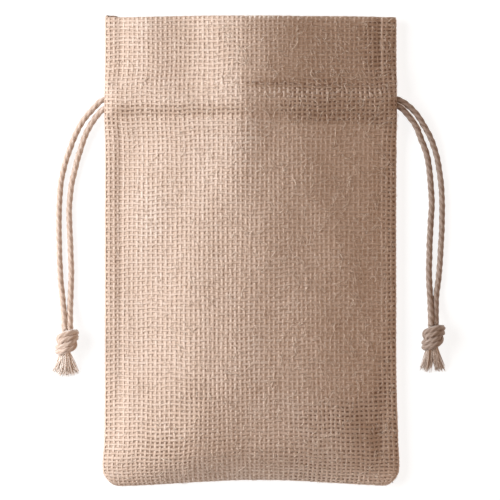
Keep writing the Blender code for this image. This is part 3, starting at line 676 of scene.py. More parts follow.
# yarns of one kind that lie over and under the others, along the places and runs given
def makeYarns(name, random, kind, at, run, along, over, sides, material, paintedTicks):
    count = len(at)
    height = weave["wave"] * (1 + wander(random, count, along, (13.0, 5.0), weave["unevenWave"]))
    centers, layer = cloth(at, run, over * height)
    across, up = surfaceFrame(centers, layer)
    widths = kind["halfWidth"] * (1 + random.uniform(-kind["unlike"], kind["unlike"], (count, 1)))
    widths = widths * (1 + wander(random, count, along, kind["slubs"], weave["slubs"]))
    thick = weave["halfThickness"] * kind["flatness"]
    thick = thick * (1 + wander(random, count, along, kind["thickness"], weave["unevenThickness"]))
    tone = random.uniform(0.25, 0.75, (count, 1)) + (random.random((count, 1)) < 0.12) * 0.25
    tone = tone + wander(random, count, along, (60.0, 23.0, 9.0), 0.34) + kind["tone"]
    # painted light and shade on the front's yarns
    if paintedTicks is not None:
        tone = tone + paintedLightAndShade(centers[..., 0], centers[..., 1], paintedTicks, kind["paintedRightSide"])
    return sweepMesh(name, centers, across, up, ovalRing(widths, thick, sides), material, tone)


# yarns along the sack, for the warps in the list, between two half rows
def makeWarps(name, warps, firstStep, lastStep, sides, seed, material, paintedTicks=None):
    random = np.random.default_rng(seed)
    warps = np.asarray(warps)[:, None]
    steps = np.arange(firstStep, lastStep + 1)
    run = np.broadcast_to(runOfRow((steps + 0.5) / 2), (len(warps), len(steps)))
    over = np.where((warps + np.floor_divide(steps, 2)) % 2 == 0, 1, -1)
    sway = wander(random, len(warps), run, warp["sways"], weave["wander"])
    at = (warps + 0.5 + sway / warpPitch) / weave["across"]
    return makeYarns(name, random, warp, at, run, run, over, sides, material, paintedTicks)


# yarns across the sack, for the rows in the list, from one place round it to another
def makeWefts(name, rows, start, end, sides, seed, material, slit=False, paintedTicks=None):
    random = np.random.default_rng(seed)
    rows = np.asarray(rows)[:, None]
    halfWarps = weave["across"] * 2
    steps = np.arange(math.floor(start * halfWarps + 0.5), math.floor(end * halfWarps - 0.5) + 1)
    at = np.broadcast_to((steps + 0.5) / halfWarps, (len(rows), len(steps))).copy()
    at[:, 0], at[:, -1] = start, end
    if slit:      # the rows at the slit end short of the side seam
        y = heightAt(runOfRow(rows[:, 0] + 0.5))
        short = (y > slitCut["low"]) & (y < slitCut["high"])
        at[short, 0] += slitCut["back"] / faceGirth
        at[short, -1] -= slitCut["back"] / faceGirth
        at[:, 1:-1] = np.clip(at[:, 1:-1], at[:, :1] + 0.001, at[:, -1:] - 0.001)
    over = np.where((rows + np.floor_divide(steps, 2)) % 2 == 0, -1, 1)
    along = at * faceGirth
    run = runOfRow(rows + 0.5) + wander(random, len(rows), along, weft["sways"], weave["wander"])
    return makeYarns(name, random, weft, at, run, along, over, sides, material, paintedTicks)


# the drawstrings: each twist has plies of a radius, laid so far out from the middle, with one turn
# in so many mm, and its grooves get painted shade, darker by the shade
cord = dict(
    diameter=2.5, step=0.5, sides=18,
    twist=dict(plies=3, radius=0.97, out=0.44, turn=11.8, shade=dict(left=2.5, right=2.6)),
    knotTwist=dict(plies=4, radius=0.78, out=0.66, turn=15.0, shade=dict(left=2.6, right=3.2)),
    fullness=dict(left=1.06, right=1.10),
    paintedFlankLight=dict(left=1.9, right=0.6),              # painted light: how much paler the flank away from the light is
    knotSwell=0.16, swellReach=9.0, intoKnot=1.6, # looser near its knot, and so far into it
    passLeft=73.0, passRight=69.8,                # each cord's height in the channel
    passReach=57.0, turnStart=52.0, passStep=9.5, # its straight run, and the points on it
    turnReach=60.4, turnDepth=3.0,                # where it turns at the far side
    splitAt=68.6,                                 # where it leaves the slit
    cover=1.2, tunnel=3.2,                        # cloth over it, and the room that it lies in
)
# free strands from the knot to the slit: x, y, z
leftOuterRoute = [
    (-89.7, -36.95, 4.8), (-89.8, -35.3, 4.7), (-90.1, -30.6, 3.0), (-90.9, -23.0, 1.45),
    (-91.9, -12.0, 1.33), (-92.5, 4.0, 1.33), (-92.5, 20.0, 1.33), (-91.7, 32.0, 1.33),
    (-90.2, 40.0, 1.4), (-88.0, 47.0, 1.8), (-85.4, 54.0, 2.6), (-81.6, 61.6, 3.7),
    (-76.8, 67.6, 4.6), (-72.4, 72.0, 5.2), (-70.4, 73.0, 5.4)]
leftInnerRoute = [
    (-87.2, -36.95, 4.8), (-87.2, -35.3, 4.7), (-87.2, -30.6, 3.0), (-87.0, -23.0, 1.45),
    (-86.6, -12.0, 1.33), (-87.1, 4.0, 1.33), (-87.6, 20.0, 1.33), (-86.6, 31.0, 1.33),
    (-85.0, 38.5, 1.4), (-82.7, 47.0, 2.0), (-79.2, 57.0, 3.0), (-75.3, 63.5, 4.0),
    (-71.6, 67.8, 5.0), (-69.8, 69.0, 5.5)]
rightOuterRoute = [
    (89.4, -34.75, 4.5), (89.4, -33.2, 4.4), (89.5, -28.6, 2.8), (89.8, -21.8, 1.45),
    (91.0, -12.6, 1.33), (91.9, 0.0, 1.33), (92.5, 12.1, 1.33), (92.6, 22.3, 1.33),
    (92.2, 31.1, 1.33), (91.2, 39.1, 1.4), (89.8, 46.3, 1.7), (87.4, 53.5, 2.3),
    (84.1, 59.8, 3.1), (80.4, 65.6, 3.9), (76.3, 69.8, 4.6), (72.4, 72.4, 5.2),
    (70.6, 73.0, 5.4)]
rightInnerRoute = [
    (87.3, -34.75, 5.3), (87.3, -33.2, 5.2), (87.1, -28.6, 3.5), (86.8, -22.0, 1.6),
    (86.3, -12.6, 1.33), (86.5, 0.0, 1.33), (87.0, 12.0, 1.33), (87.6, 22.3, 1.33),
    (87.0, 33.1, 1.33), (86.2, 41.1, 1.5), (84.6, 48.3, 2.0), (82.2, 54.3, 2.7),
    (79.8, 60.3, 3.4), (76.4, 65.0, 4.3), (72.3, 69.2, 5.1), (70.3, 70.2, 5.5)]
# each cord inside its slit: x, y, and how far it has parted from the edge's middle height
leftFrontEntry = [(-67.6, 69.9, 0.25), (-65.9, 71.2, 0.6), (-64.0, 72.5, 0.88), (-61.6, 73.0, 1.0)]
leftBackEntry = [(-68.0, 73.1, 0.1), (-65.6, 73.0, 0.6), (-62.6, 73.0, 1.0)]
rightFrontEntry = [(68.0, 69.7, 0.2), (66.0, 69.8, 0.6), (64.0, 69.8, 0.88), (61.6, 69.8, 1.0)]
rightBackEntry = [(68.4, 72.8, 0.1), (66.4, 71.9, 0.45), (64.4, 70.6, 0.8), (61.8, 69.8, 1.0)]
# the overhand knot's route about its centre, from the strands above to the ends below
knotRoute = [
    (0.0, 7.4, 0.2), (0.1, 4.0, 0.1), (2.5, 1.4, 0.6), (2.5, -1.4, 2.8), (-1.4, -3.2, 3.5),
    (-4.3, -3.9, 1.0), (-3.8, -3.5, -2.1), (-1.3, -1.5, -3.2), (1.1, 1.0, -3.2),
    (3.4, 2.8, -2.1), (4.1, 3.2, 0.8), (2.1, 3.2, 3.4), (-0.9, 2.2, 3.6), (-3.5, 0.8, 2.2),
    (-2.0, -2.4, 0.1), (-0.8, -5.2, 0.0)]
knots = dict(
    left=dict(center=(-88.5, -43.9, 4.75), lean=6.0, locks=(
        ((-2.4, -4.6, 0.0), (-6.0, -15.2, -3.7), 2.4, 1.5),
        ((-1.8, -4.6, 0.3), (-3.7, -16.2, -3.6), 2.4, 1.7),
        ((-1.1, -4.6, 0.3), (-1.5, -16.6, -3.6), 2.6, 1.8),
        ((-0.6, -4.6, 0.3), (0.7, -16.5, -3.6), 2.6, 1.7),
        ((0.0, -4.6, 0.3), (2.8, -15.8, -3.6), 2.4, 1.6),
        ((0.4, -4.6, 0.0), (5.0, -15.0, -3.7), 2.2, 1.4))),
    right=dict(center=(88.4, -41.7, 4.75), lean=0.0, locks=(
        ((-2.2, -4.6, 0.0), (-5.6, -15.6, -3.7), 2.6, 1.6),
        ((-2.0, -4.6, 0.2), (-3.9, -16.3, -3.6), 2.6, 1.6),
        ((-1.8, -4.6, 0.2), (-2.3, -16.5, -3.6), 2.6, 1.6),
        ((0.4, -4.6, 0.2), (1.6, -16.4, -3.6), 2.6, 1.6),
        ((0.6, -4.6, 0.2), (3.2, -16.3, -3.6), 2.6, 1.6),
        ((0.8, -4.6, 0.0), (4.7, -15.6, -3.7), 2.6, 1.6))),
)
# two strands side by side: from the pair's middle, how full, and where they lie flat on the core
tie = dict(apart=1.12, fullness=1.12, coreRadius=1.8, coreBlend=1.4)


# points of a smooth curve through a route's own points
def smoothPoints(route, parts):
    points = [np.array(point, float) for point in route]
    points = [points[0] * 2 - points[1], *points, points[-1] * 2 - points[-2]]
    result = []
    for before, start, end, after in zip(points, points[1:], points[2:], points[3:]):
        t0, t1 = 0.0, np.linalg.norm(start - before) ** 0.5
        t2 = t1 + np.linalg.norm(end - start) ** 0.5
        t3 = t2 + np.linalg.norm(after - end) ** 0.5
        for k in range(parts):
            t = t1 + (t2 - t1) * k / parts
            a = before * ((t1 - t) / (t1 - t0)) + start * ((t - t0) / (t1 - t0))
            b = start * ((t2 - t) / (t2 - t1)) + end * ((t - t1) / (t2 - t1))
            c = end * ((t3 - t) / (t3 - t2)) + after * ((t - t2) / (t3 - t2))
            d = a * ((t2 - t) / (t2 - t0)) + b * ((t - t0) / (t2 - t0))
            e = b * ((t3 - t) / (t3 - t1)) + c * ((t - t1) / (t3 - t1))
            result.append(d * ((t2 - t) / (t2 - t1)) + e * ((t - t1) / (t2 - t1)))
    return np.array(result + [points[-2]])


def lengthAlong(points):
    return np.concatenate([[0.0], np.cumsum(np.linalg.norm(np.diff(points, axis=0), axis=1))])


def resampled(points, step):
    length = lengthAlong(points)
    count = max(2, round(length[-1] / step) + 1)
    at = np.linspace(0.0, length[-1], count)
    return np.stack([np.interp(at, length, points[:, k]) for k in range(3)], axis=-1)


# two directions across a line that don't turn about it
def carried(points):
    ahead = unit(np.gradient(points, axis=0))
    start = np.array((1.0, 0.0, 0.0)) if abs(ahead[0][0]) < 0.8 else np.array((0.0, 0.0, 1.0))
    across = [unit(start - ahead[0] * start.dot(ahead[0]))]
    for k in range(1, len(points)):
        last = across[-1] - ahead[k] * across[-1].dot(ahead[k])
        across.append(unit(last))
    across = np.array(across)
    return across, np.cross(ahead, across)


def carriedFrames(lines):
    frames = [carried(line) for line in lines]
    return np.array([across for across, _ in frames]), np.array([up for _, up in frames])


# the outline of twisted plies, turning along the cord, and how deep each point lies between them
def twistedOutline(random, length, form):
    sides, plies = cord["sides"], form["plies"]
    angle = 2 * math.pi * np.arange(sides) / sides
    twist = -2 * math.pi * length / form["turn"] + random.uniform(0, 2 * math.pi)
    around, share = angle - twist[:, None], 2 * math.pi / plies
    off = around % share - share / 2
    reach = form["out"] * np.cos(off) + np.sqrt(form["radius"] ** 2 - (form["out"] * np.sin(off)) ** 2)
    ply = np.floor_divide(around % (2 * math.pi), share).astype(int)
    swell = random.uniform(0.95, 1.05, plies)[ply]
    rough = 1 + 0.035 * np.sin(angle * 5 + length[:, None] * 1.3) * np.sin(length[:, None] * 0.9)
    reach = reach * swell * rough
    groove = (np.abs(off) * plies / math.pi) ** 3
    return np.stack([reach * np.cos(angle), reach * np.sin(angle)], axis=-1), groove


# twisted cords of one piece, one along each line, in the form and shade of their drawstring
def twistedCord(name, lines, seed, material, form, side, fullness=1.0, swell=0.0):
    random = np.random.default_rng(seed)
    count = max(len(resampled(line, cord["step"])) for line in lines)
    centers = np.array([resampled(line, lengthAlong(line)[-1] / (count - 1))[:count] for line in lines])
    across, up = carriedFrames(centers)
    outlines, grooves = [], []
    for line in centers:
        length = lengthAlong(line)
        outline, groove = twistedOutline(random, length, form)
        swollen = fullness + swell * np.exp(-length / cord["swellReach"])
        outlines.append(outline * swollen[:, None, None])
        grooves.append(groove)
    outline = np.array(outlines)
    along = np.array([np.arange(count) * cord["step"]] * len(lines))
    tone = 0.6 + wander(random, len(lines), along, (30.0, 11.0), 0.3)
    aside = outline[..., 0] * across[..., :1] + outline[..., 1] * up[..., :1]
    # painted shade in the grooves between the plies
    tone = tone[..., None] - form["shade"][side] * np.array(grooves)
    # painted light on the flank that faces away from the light
    tone = tone + cord["paintedFlankLight"][side] * smooth(aside / cord["diameter"] * 1.6)
    return sweepMesh(name, centers, across, up, outline, material, tone)


# the stretch of one cord inside the channels: in along the front, round at the far side, back out
def channelRoute(side, height, frontEntry, backEntry):
    count = int((cord["passReach"] + cord["turnStart"]) / cord["passStep"]) + 1
    xs = [side * (cord["passReach"] - cord["passStep"] * k) for k in range(count)]
    inset = cord["cover"] + cord["tunnel"] / 2
    turnX = -side * (cord["turnReach"] - cord["turnDepth"])

    def frontAt(x, y):
        return float(front(np.array(x), np.array(y)) - seams(np.array(x), np.array(y))) - inset

    def backAt(x, y):
        return float(back(np.array(x), np.array(y))) + inset

    def entry(rows, channelAt):
        return [(x, y, float(edgeMiddle(y)) + (channelAt(x, y) - float(edgeMiddle(y))) * share)
                for x, y, share in rows]

    top, bottom = frontAt(turnX, height), backAt(turnX, height)
    middle, bend = (top + bottom) / 2, (top - bottom) / 2
    turn = []
    for angle in (90, 50, 0, -50, -90):
        turnAt = turnX - side * cord["turnDepth"] * math.cos(math.radians(angle))
        turn.append((turnAt, height, middle + bend * math.sin(math.radians(angle))))
    frontPass = [(x, height, frontAt(x, height)) for x in xs]
    backPass = [(x, height, backAt(x, height)) for x in xs]
    return entry(frontEntry, frontAt) + frontPass + turn + backPass[::-1] + entry(backEntry, backAt)[::-1]


# one cord from knot to knot, parted at its slit into two free strands and the stretch between
def makeCord(name, outer, inner, frontEntry, backEntry, side, height, seed, material):
    within = channelRoute(side, height, frontEntry, backEntry)
    points = smoothPoints(inner + within + outer[::-1], 6)
    outside = [abs(point[0]) > cord["splitAt"] for point in points]
    first, last = outside.index(False), len(points) - 1 - outside[::-1].index(False)
    strands = {}
    for title, line in (("inner", points[:first]), ("outer", points[last + 1:][::-1])):
        line = np.array(line)
        intoKnot = line[0] + unit(line[0] - line[1]) * cord["intoKnot"]
        line = np.concatenate([[intoKnot], line])
        piece = twistedCord("cord_" + name + "_" + title + "_twisted", [line], seed + len(strands),
                            material, cord["twist"], name, cord["fullness"][name], cord["knotSwell"])
        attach(piece, "root")
        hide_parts("cord_" + name + "_" + title)
        strands[title] = (piece, line)
    middle = twistedCord("cord_" + name + "_casing_twisted", [np.array(points[first:last + 1])],
                         seed + 5, material, cord["twist"], name)
    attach(middle, "root")
    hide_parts("cord_" + name + "_casing")
    return strands


# two strands side by side along a knot's route, flat against the knot where they wrap it
def strandPair(route):
    points = smoothPoints(route, 8)
    ahead = unit(np.gradient(points, axis=0))
    radial = points * (1, 0, 1)
    wrapped = smooth((np.linalg.norm(radial, axis=1) - tie["coreRadius"]) / tie["coreBlend"])[:, None]
    outward = (1 - wrapped) * np.array((0.0, 0.0, 1.0)) + wrapped * unit(radial)
    side = unit(np.cross(ahead, outward)) * tie["apart"]
    return points - side, points + side


# a knot's own place: turned by its lean and moved to its centre
def placed(points, knot):
    lean = math.radians(knot["lean"])
    points = np.asarray(points, float)
    x = points[..., 0] * math.cos(lean) + points[..., 2] * math.sin(lean)
    z = points[..., 2] * math.cos(lean) - points[..., 0] * math.sin(lean)
    return np.stack([x, points[..., 1], z], axis=-1) + np.array(knot["center"])


# fibres in each lock of a frayed end, how far they spread and stray, and how late they part
tail = dict(fibres=42, rings=9, halfThick=0.18, spread=0.8, stray=0.3, flare=1.5, seed=31)


# frayed ends: locks of loose fibres that come out of the knot and fan out on the floor
def makeTail(name, knot, material):
    random = np.random.default_rng(tail["seed"] + len(name))
    lines, sizes = [], []
    share = np.linspace(0.0, 1.0, tail["rings"])
    flare = np.stack([share ** tail["flare"], share, share ** tail["flare"]], axis=-1)
    for root, tip, rootWidth, tipWidth in knot["locks"]:
        for _ in range(tail["fibres"]):
            angle, out = random.uniform(0, 2 * math.pi), math.sqrt(random.random())
            x, z = out * math.cos(angle), out * math.sin(angle)
            start = root + rootWidth / 2 * np.array((x, 0.0, z))
            end = tip + tipWidth * tail["spread"] * np.array((x, 0.0, 0.3 * z))
            end = start + (end - start) * random.uniform(0.84, 1.06)
            bow = np.sin(math.pi * share)[:, None] * random.normal(0, tail["stray"], 3)
            curl = (share ** 2)[:, None] * random.normal(0, tail["stray"], 3)
            line = placed(start + (end - start) * flare + bow + curl, knot)
            line[:, 2] = np.maximum(line[:, 2], 0.2)
            lines.append(line)
            sizes.append(random.uniform(0.7, 1.25))
    lines = np.array(lines)
    widths = tail["halfThick"] * np.array(sizes)[:, None] * (1.0 - 0.65 * share ** 2)[None]
    tone = random.uniform(0.3, 1.0, (len(lines), 1))
    return sweepMesh(name, lines, *carriedFrames(lines), ovalRing(widths, widths * 0.8, 4), material, tone)


juteLook = dict(
    yarnLook,
    light=(0.590, 0.435, 0.350, 1.0),
    warm=(0.520, 0.370, 0.285, 1.0),
    streaks=(0.55, 2.4),
    bump=0.7,
    sheen=0.9,
)
fibreLook = dict(
    juteLook,
    light=(0.990, 0.860, 0.770, 1.0),
    warm=(0.960, 0.790, 0.680, 1.0),
    dark=(0.860, 0.680, 0.570, 1.0),
    pale=(0.990, 0.910, 0.840, 1.0),
    streaks=(0.4, 1.0),
    bump=0.3,
    sheen=1.0,
)
# shaded copies of the jute for the right drawstring: painted shade, as if it lay in shade
paintedShadeJuteLook = dict(
    juteLook,
    light=(0.400, 0.295, 0.240, 1.0),
    warm=(0.335, 0.236, 0.182, 1.0),
    dark=(0.215, 0.138, 0.096, 1.0),
    pale=(0.490, 0.395, 0.335, 1.0),
    sheen=0.3,
)
paintedShadeFibreLook = dict(
    fibreLook,
    light=(0.660, 0.535, 0.450, 1.0),
    warm=(0.600, 0.460, 0.375, 1.0),
    dark=(0.500, 0.370, 0.290, 1.0),
    pale=(0.680, 0.570, 0.490, 1.0),
    sheen=0.3,
)
knotLook = dict(streaks=(0.16, 1.0), bump=1.0, bumpDepth=0.35)     # its fibres lie in long strokes
jute, juteKnot, juteFibre = {}, {}, {}
# the right drawstring, its knot and frayed ends take the shaded copies: painted shade
for side, ending, plyLook, endLook in (("left", "", juteLook, fibreLook),
                                       ("right", "_painted_shade", paintedShadeJuteLook, paintedShadeFibreLook)):
    jute[side] = makeYarnMaterial("jute_plies" + ending, plyLook)
    juteKnot[side] = makeYarnMaterial("jute_knot" + ending, dict(plyLook, **knotLook))
    juteFibre[side] = makeYarnMaterial("jute_fibre" + ending, endLook)

leftStrands = makeCord("left", leftOuterRoute, leftInnerRoute, leftFrontEntry, leftBackEntry, -1,
                       cord["passLeft"], 101, jute["left"])
rightStrands = makeCord("right", rightOuterRoute, rightInnerRoute, rightFrontEntry, rightBackEntry, 1,
                        cord["passRight"], 202, jute["right"])
for side, strands in (("left", leftStrands), ("right", rightStrands)):
    knot = knots[side]
    wraps = twistedCord("knot_" + side + "_wraps", [placed(line, knot) for line in strandPair(knotRoute)],
                        len(side), juteKnot[side], cord["knotTwist"], side, tie["fullness"])
    brush = makeTail("knot_" + side + "_frayed_ends", knot, juteFibre[side])
    for piece in (wraps, brush):
        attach(piece, "root")
        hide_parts("knot_" + side)
    for title, (piece, line) in strands.items():
        [wraps, brush] if title == "outer" else []
print("drawstrings tied")

# the cloth is woven as the front, the back and the heading turned in at the rim
warpYarn = makeYarnMaterial("burlap_warp", yarnLook)
weftYarn = makeYarnMaterial("burlap_weft", dict(yarnLook, light=(0.595, 0.440, 0.350, 1.0)))
backing = makeBackingMaterial("burlap_backing", backingLook)
across, rowsOut = weave["across"], weave["rowsOut"]
rowsAll = rowsOut + 1 + weave["rowsIn"]
clothPieces = [
    # the front's warps get painted highlights and its wefts painted shade under the upper stitches
    makeWarps("warp_front", range(across), -1, 2 * rowsOut + 2, 6, 11, warpYarn, 2.2),
    makeWefts("weft_front", range(rowsOut + 1), 0.0, 1.0, 6, 12, weftYarn, True, -1.3),
    makeWarps("warp_back", range(across, 2 * across), 0, 2 * rowsOut + 2, 4, 13, warpYarn),
    makeWefts("weft_back", range(rowsOut + 1), 1.0, 2.0, 4, 14, weftYarn, True),
    makeWarps("heading_warp", range(2 * across), 2 * rowsOut + 1, 2 * rowsAll - 1, 4, 15, warpYarn),
    makeWefts("heading_weft_front", range(rowsOut + 1, rowsAll), 0.02, 0.98, 4, 16, weftYarn),
    makeWefts("heading_weft_back", range(rowsOut + 1, rowsAll), 1.02, 1.98, 4, 17, weftYarn),
]
print("cloth woven")

backingSheet = dict(
    thickness=0.2,
    below=0.20,           # under the middle of the weave
    filling=0.07,         # how much higher it is where loose fibres fill the holes
    # places round the side edge and runs round the bottom fold, where its faces are closer
    edgePlaces=(0.0, 0.0055, 0.013, 0.02, 0.026, 0.032, 0.038, 0.044, 0.05, 0.056, 0.062,
                0.068, 0.076),
    foldRuns=(0.0, 0.7, 1.6, 3.0, 5.0, 8.0),
    bodyFrom=12.0,        # the first run of the plain cloth, which takes a face each 3 mm
    channelFrom=58.0,     # heights between which it takes a face each mm
    channelTo=87.0,
)


# the thin closed sheet that the yarns are matted into, open at the mouth and at the side slits
def makeSheet(name, material):
    edge = np.array(backingSheet["edgePlaces"])
    half = np.concatenate([edge, np.linspace(0.088, 0.912, 60), 1 - edge[::-1]])
    ring = np.concatenate([half, 2 - half[1:-1][::-1]])
    count, width = len(ring), len(half)
    channel = runAt(np.arange(backingSheet["channelFrom"], backingSheet["channelTo"], 1.0))
    body = np.arange(backingSheet["bodyFrom"], channel[0] - 2.0, 3.0)
    above = np.arange(channel[-1] + 2.0, rimStart - 1.0, 3.0)
    rim = rimStart + rimRadius * np.linspace(0.0, math.pi, 6)
    inside = rim[-1] + np.arange(1.5, weave["rowsIn"] * pitch, 2.0)
    run = np.concatenate([backingSheet["foldRuns"], body, channel, above, rim, inside])
    run, place = run[:, None] + 0 * ring, ring + 0 * run[:, None]
    below = -backingSheet["below"] * ramp(run, 0.0, 4.0)
    points, _ = cloth(place, run, below)
    filled = np.where(place <= 1, np.maximum(mattedAndHoleShade(points[..., 0], points[..., 1]), 0.0), 0.0)
    points, _ = cloth(place, run, below + backingSheet["filling"] * filled)
    faces = []
    for k in range(width - 1):      # the bottom fold joins front and back
        corners = (k, k + 1, (count - k - 1) % count, (count - k) % count)
        faces.append(list(dict.fromkeys(corners)))
    for r in range(len(run) - 1):
        atSlit = slitCut["low"] < points[r, 0, 1] < slitCut["high"]
        for k in range(count):
            after = (k + 1) % count
            if not (atSlit and {k, after} & {0, width - 1}):
                low, high = r * count, (r + 1) * count
                faces.append([low + k, low + after, high + after, high + k])
    mesh = bpy.data.meshes.new(name)
    mesh.from_pydata((points.reshape(-1, 3) * mm).tolist(), [], faces)
    mesh.validate()
    x, y = points[..., 0], points[..., 1]
    # painted light and shade on the front, with painted shade in its open holes
    tone = np.where((place <= 1) & (run < rimStart + 2.0), paintedLightAndShade(x, y) + mattedAndHoleShade(x, y), 0.0)
    item = addPiece(name, mesh, tone, material)
    thicken = item.modifiers.new("thickness", "SOLIDIFY")
    thicken.thickness = backingSheet["thickness"] * mm
    thicken.offset = 0.0
    thicken.use_rim = True
    return item


sackSheet = makeSheet("sack_cloth_sheet", backing)

# running stitches: half the thread's thickness, how far a stitch slants, strays and sinks in, and
# how much deeper its ends go; the first and last stand this far round a face
stitching = dict(thread=0.22, spacing=4.9, length=3.1, slant=0.35, unevenSlant=0.14, stray=0.12,
                 sink=0.02, ends=1.0, first=3.0, last=154.0, seed=41)
threadMaterial = makeYarnMaterial("sewing_thread", dict(
    yarnLook, light=(0.640, 0.490, 0.390, 1.0), warm=(0.560, 0.410, 0.310, 1.0),
    streaks=(1.6, 3.0), bump=0.4))


# two rows of running stitches round the sack
def makeStitches(name, material):
    random = np.random.default_rng(stitching["seed"])
    at, run = [], []
    along = np.linspace(-0.5, 0.5, 8)
    for line in ("lowerStitch", "upperStitch"):
        middle = float(runAt(sack[line]))
        for start in (0.0, 1.0):
            x = stitching["first"]
            while x < stitching["last"]:
                size = stitching["length"] * random.uniform(0.85, 1.12)
                tilt = random.normal(stitching["slant"], stitching["unevenSlant"])
                off = random.normal(0, stitching["stray"])
                at.append(start + (x + along * size) / faceGirth)
                run.append(middle + off + along * tilt)
                x += stitching["spacing"] * random.uniform(0.92, 1.08)
    at, run = np.array(at), np.array(run)
    sink = stitching["ends"] * (2 * np.abs(along)) ** 5 + stitching["sink"]
    normal = skinNormal(at, run)
    centers = skin(at, run) - normal * sink[:, None]
    widths = np.full(at.shape, stitching["thread"])
    outline = ovalRing(widths, widths * 0.85, 6)
    tone = random.uniform(0.4, 1.0, (len(at), 1))
    return sweepMesh(name, centers, *surfaceFrame(centers, normal), outline, material, tone)


stitches = makeStitches("channel_stitches", threadMaterial)

# fibres on each face: their lengths, how far they turn and bend, how high they curl, how deep
# their roots lie, and how much thicker they stand on the sack's right
fuzz = dict(front=3600, back=900, rings=5, halfThick=0.1, shortest=1.8, longest=8.0, turned=0.9,
            bend=0.36, lift=0.7, rooted=0.3, leaning=0.6, seed=51)
fuzzMaterial = makeYarnMaterial("loose_fibre", dict(
    yarnLook, light=(0.900, 0.770, 0.650, 1.0), warm=(0.700, 0.540, 0.420, 1.0),
    streaks=(0.5, 0.5), bump=0.1))


# loose fibres that curl out of the yarns, most of them along the sack
def makeFuzz(name, count, start, seed, material):
    random = np.random.default_rng(seed)
    share = np.linspace(0.0, 1.0, fuzz["rings"])
    length = fuzz["shortest"] + (fuzz["longest"] - fuzz["shortest"]) * random.random((count, 1)) ** 2.2
    heading = random.normal(math.pi / 2, fuzz["turned"], (count, 1))
    heading = heading + random.integers(0, 2, (count, 1)) * math.pi
    angle = heading + random.normal(0, fuzz["bend"], (count, 1)) * length * share
    step = length / (fuzz["rings"] - 1)
    sideways = np.cumsum(np.cos(angle) * step, axis=1)
    upward = np.cumsum(np.sin(angle) * step, axis=1)
    place = random.random((count, 1))
    if start < 1.0:      # the front
        place = place ** fuzz["leaning"]
    at = start + 0.012 + 0.976 * place + sideways / faceGirth
    run = 2.0 + (rimStart - 2.0) * random.random((count, 1)) + upward
    run = np.clip(run, 0.6, rimStart + 0.5)
    curl = fuzz["lift"] * random.random((count, 1)) ** 1.6 * np.sin(math.pi * share)
    lift = curl - fuzz["rooted"] * (1 - share) ** 3 + 0.05
    normal = skinNormal(at, run)
    centers = skin(at, run) + normal * lift[..., None]
    centers[..., 2] = np.maximum(centers[..., 2], fuzz["halfThick"] * 1.5)
    widths = fuzz["halfThick"] * random.uniform(0.7, 1.4, (count, 1)) * (1 - 0.6 * share ** 2)
    outline = ovalRing(widths, widths, 3)
    tone = random.uniform(0.2, 1.0, (count, 1))
    return sweepMesh(name, centers, *surfaceFrame(centers, normal), outline, material, tone)


# one long fibre that has worked loose along the right drawstring
strayFibre = dict(halfThick=0.16, tone=0.9, route=[
    (70.6, 71.4, 7.0), (73.2, 70.2, 6.8), (76.2, 67.3, 6.2), (79.0, 63.9, 5.4), (81.2, 60.6, 4.7),
    (83.0, 57.4, 4.1)])


def makeStray(name, material):
    line = smoothPoints(strayFibre["route"], 6)[None]
    widths = strayFibre["halfThick"] * (1 - 0.5 * np.linspace(0, 1, line.shape[1])[None] ** 2)
    return sweepMesh(name, line, *carriedFrames(line), ovalRing(widths, widths, 4), material,
                     np.full((1, 1), strayFibre["tone"]))


stray = makeStray("loose_fibre_right", juteFibre["left"])
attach(stray, "root")
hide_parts("cord_right_inner")

fuzzFront = makeFuzz("loose_fibres_front", fuzz["front"], 0.0, fuzz["seed"], fuzzMaterial)
fuzzBack = makeFuzz("loose_fibres_back", fuzz["back"], 1.0, fuzz["seed"] + 1, fuzzMaterial)
clothPieces += [stitches, fuzzFront, fuzzBack]
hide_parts("sack_cloth")
for piece in [sackSheet, *clothPieces]:
    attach(piece, "root")
print("sack sewn, stitched and roughened")

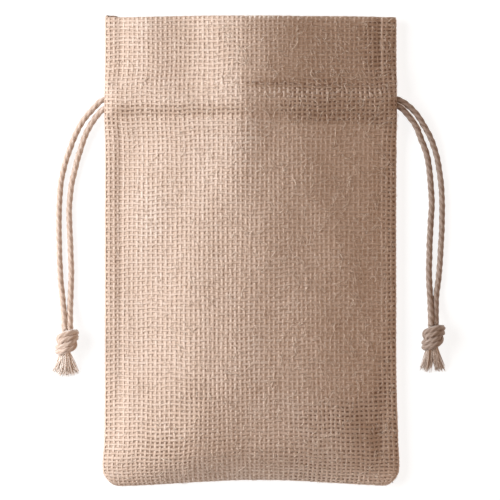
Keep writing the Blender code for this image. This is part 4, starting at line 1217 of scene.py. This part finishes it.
# floor and light
studio = dict(
    floor=(0.26, 0.26, 0.26, 1.0), floorGlow=0.85, floorReach=2.5,
    sky=(1.0, 0.71, 0.51, 1.0), skyPower=0.198,
    key=dict(side=8.0, height=26.0, away=1500.0, size=1400.0, power=50.5, color=(0.90, 0.955, 1.0)),
    fill=dict(side=185.0, height=32.0, away=1500.0, size=900.0, power=4.6, color=(1.0, 0.70, 0.50)),
)


# a square soft light: its side is turned from the sack's left towards the mouth
def makeLight(name, look):
    side, height = math.radians(look["side"]), math.radians(look["height"])
    data = bpy.data.lights.new(name, "AREA")
    data.shape = "SQUARE"
    data.size = look["size"] * mm
    data.energy = look["power"]
    data.color = look["color"]
    light = bpy.data.objects.new(name, data)
    out = Vector((-math.cos(height) * math.cos(side), math.cos(height) * math.sin(side), math.sin(height)))
    light.location = out * look["away"] * mm
    light.rotation_mode = "QUATERNION"
    light.rotation_quaternion = out.to_track_quat("Z", "Y")
    scene.collection.objects.link(light)


def makeStudio():
    mesh = bpy.data.meshes.new("floor")
    reach = studio["floorReach"]
    corners = [(-reach, -reach, 0), (reach, -reach, 0), (reach, reach, 0), (-reach, reach, 0)]
    mesh.from_pydata(corners, [], [(0, 1, 2, 3)])
    floor = bpy.data.objects.new("floor", mesh)
    floor.location.z = -0.02 * mm
    scene.collection.objects.link(floor)
    material, wire = newMaterial("floor_paper")
    inputs = {"Base Color": studio["floor"], "Roughness": 0.9, "Emission Color": (1.0, 1.0, 1.0, 1.0),
              "Emission Strength": studio["floorGlow"]}
    wire.node("OutputMaterial", {}, {"Surface": wire.node("BsdfPrincipled", {}, inputs)})
    mesh.materials.append(material)
    world = bpy.data.worlds.new("studio")
    world.use_nodes = True
    sky = world.node_tree.nodes["Background"]
    sky.inputs["Color"].default_value = studio["sky"]
    sky.inputs["Strength"].default_value = studio["skyPower"]
    scene.world = world
    makeLight("key_light", studio["key"])
    makeLight("fill_light", studio["fill"])
    scene.view_settings.view_transform = "Standard"


makeStudio()
print("studio lit")
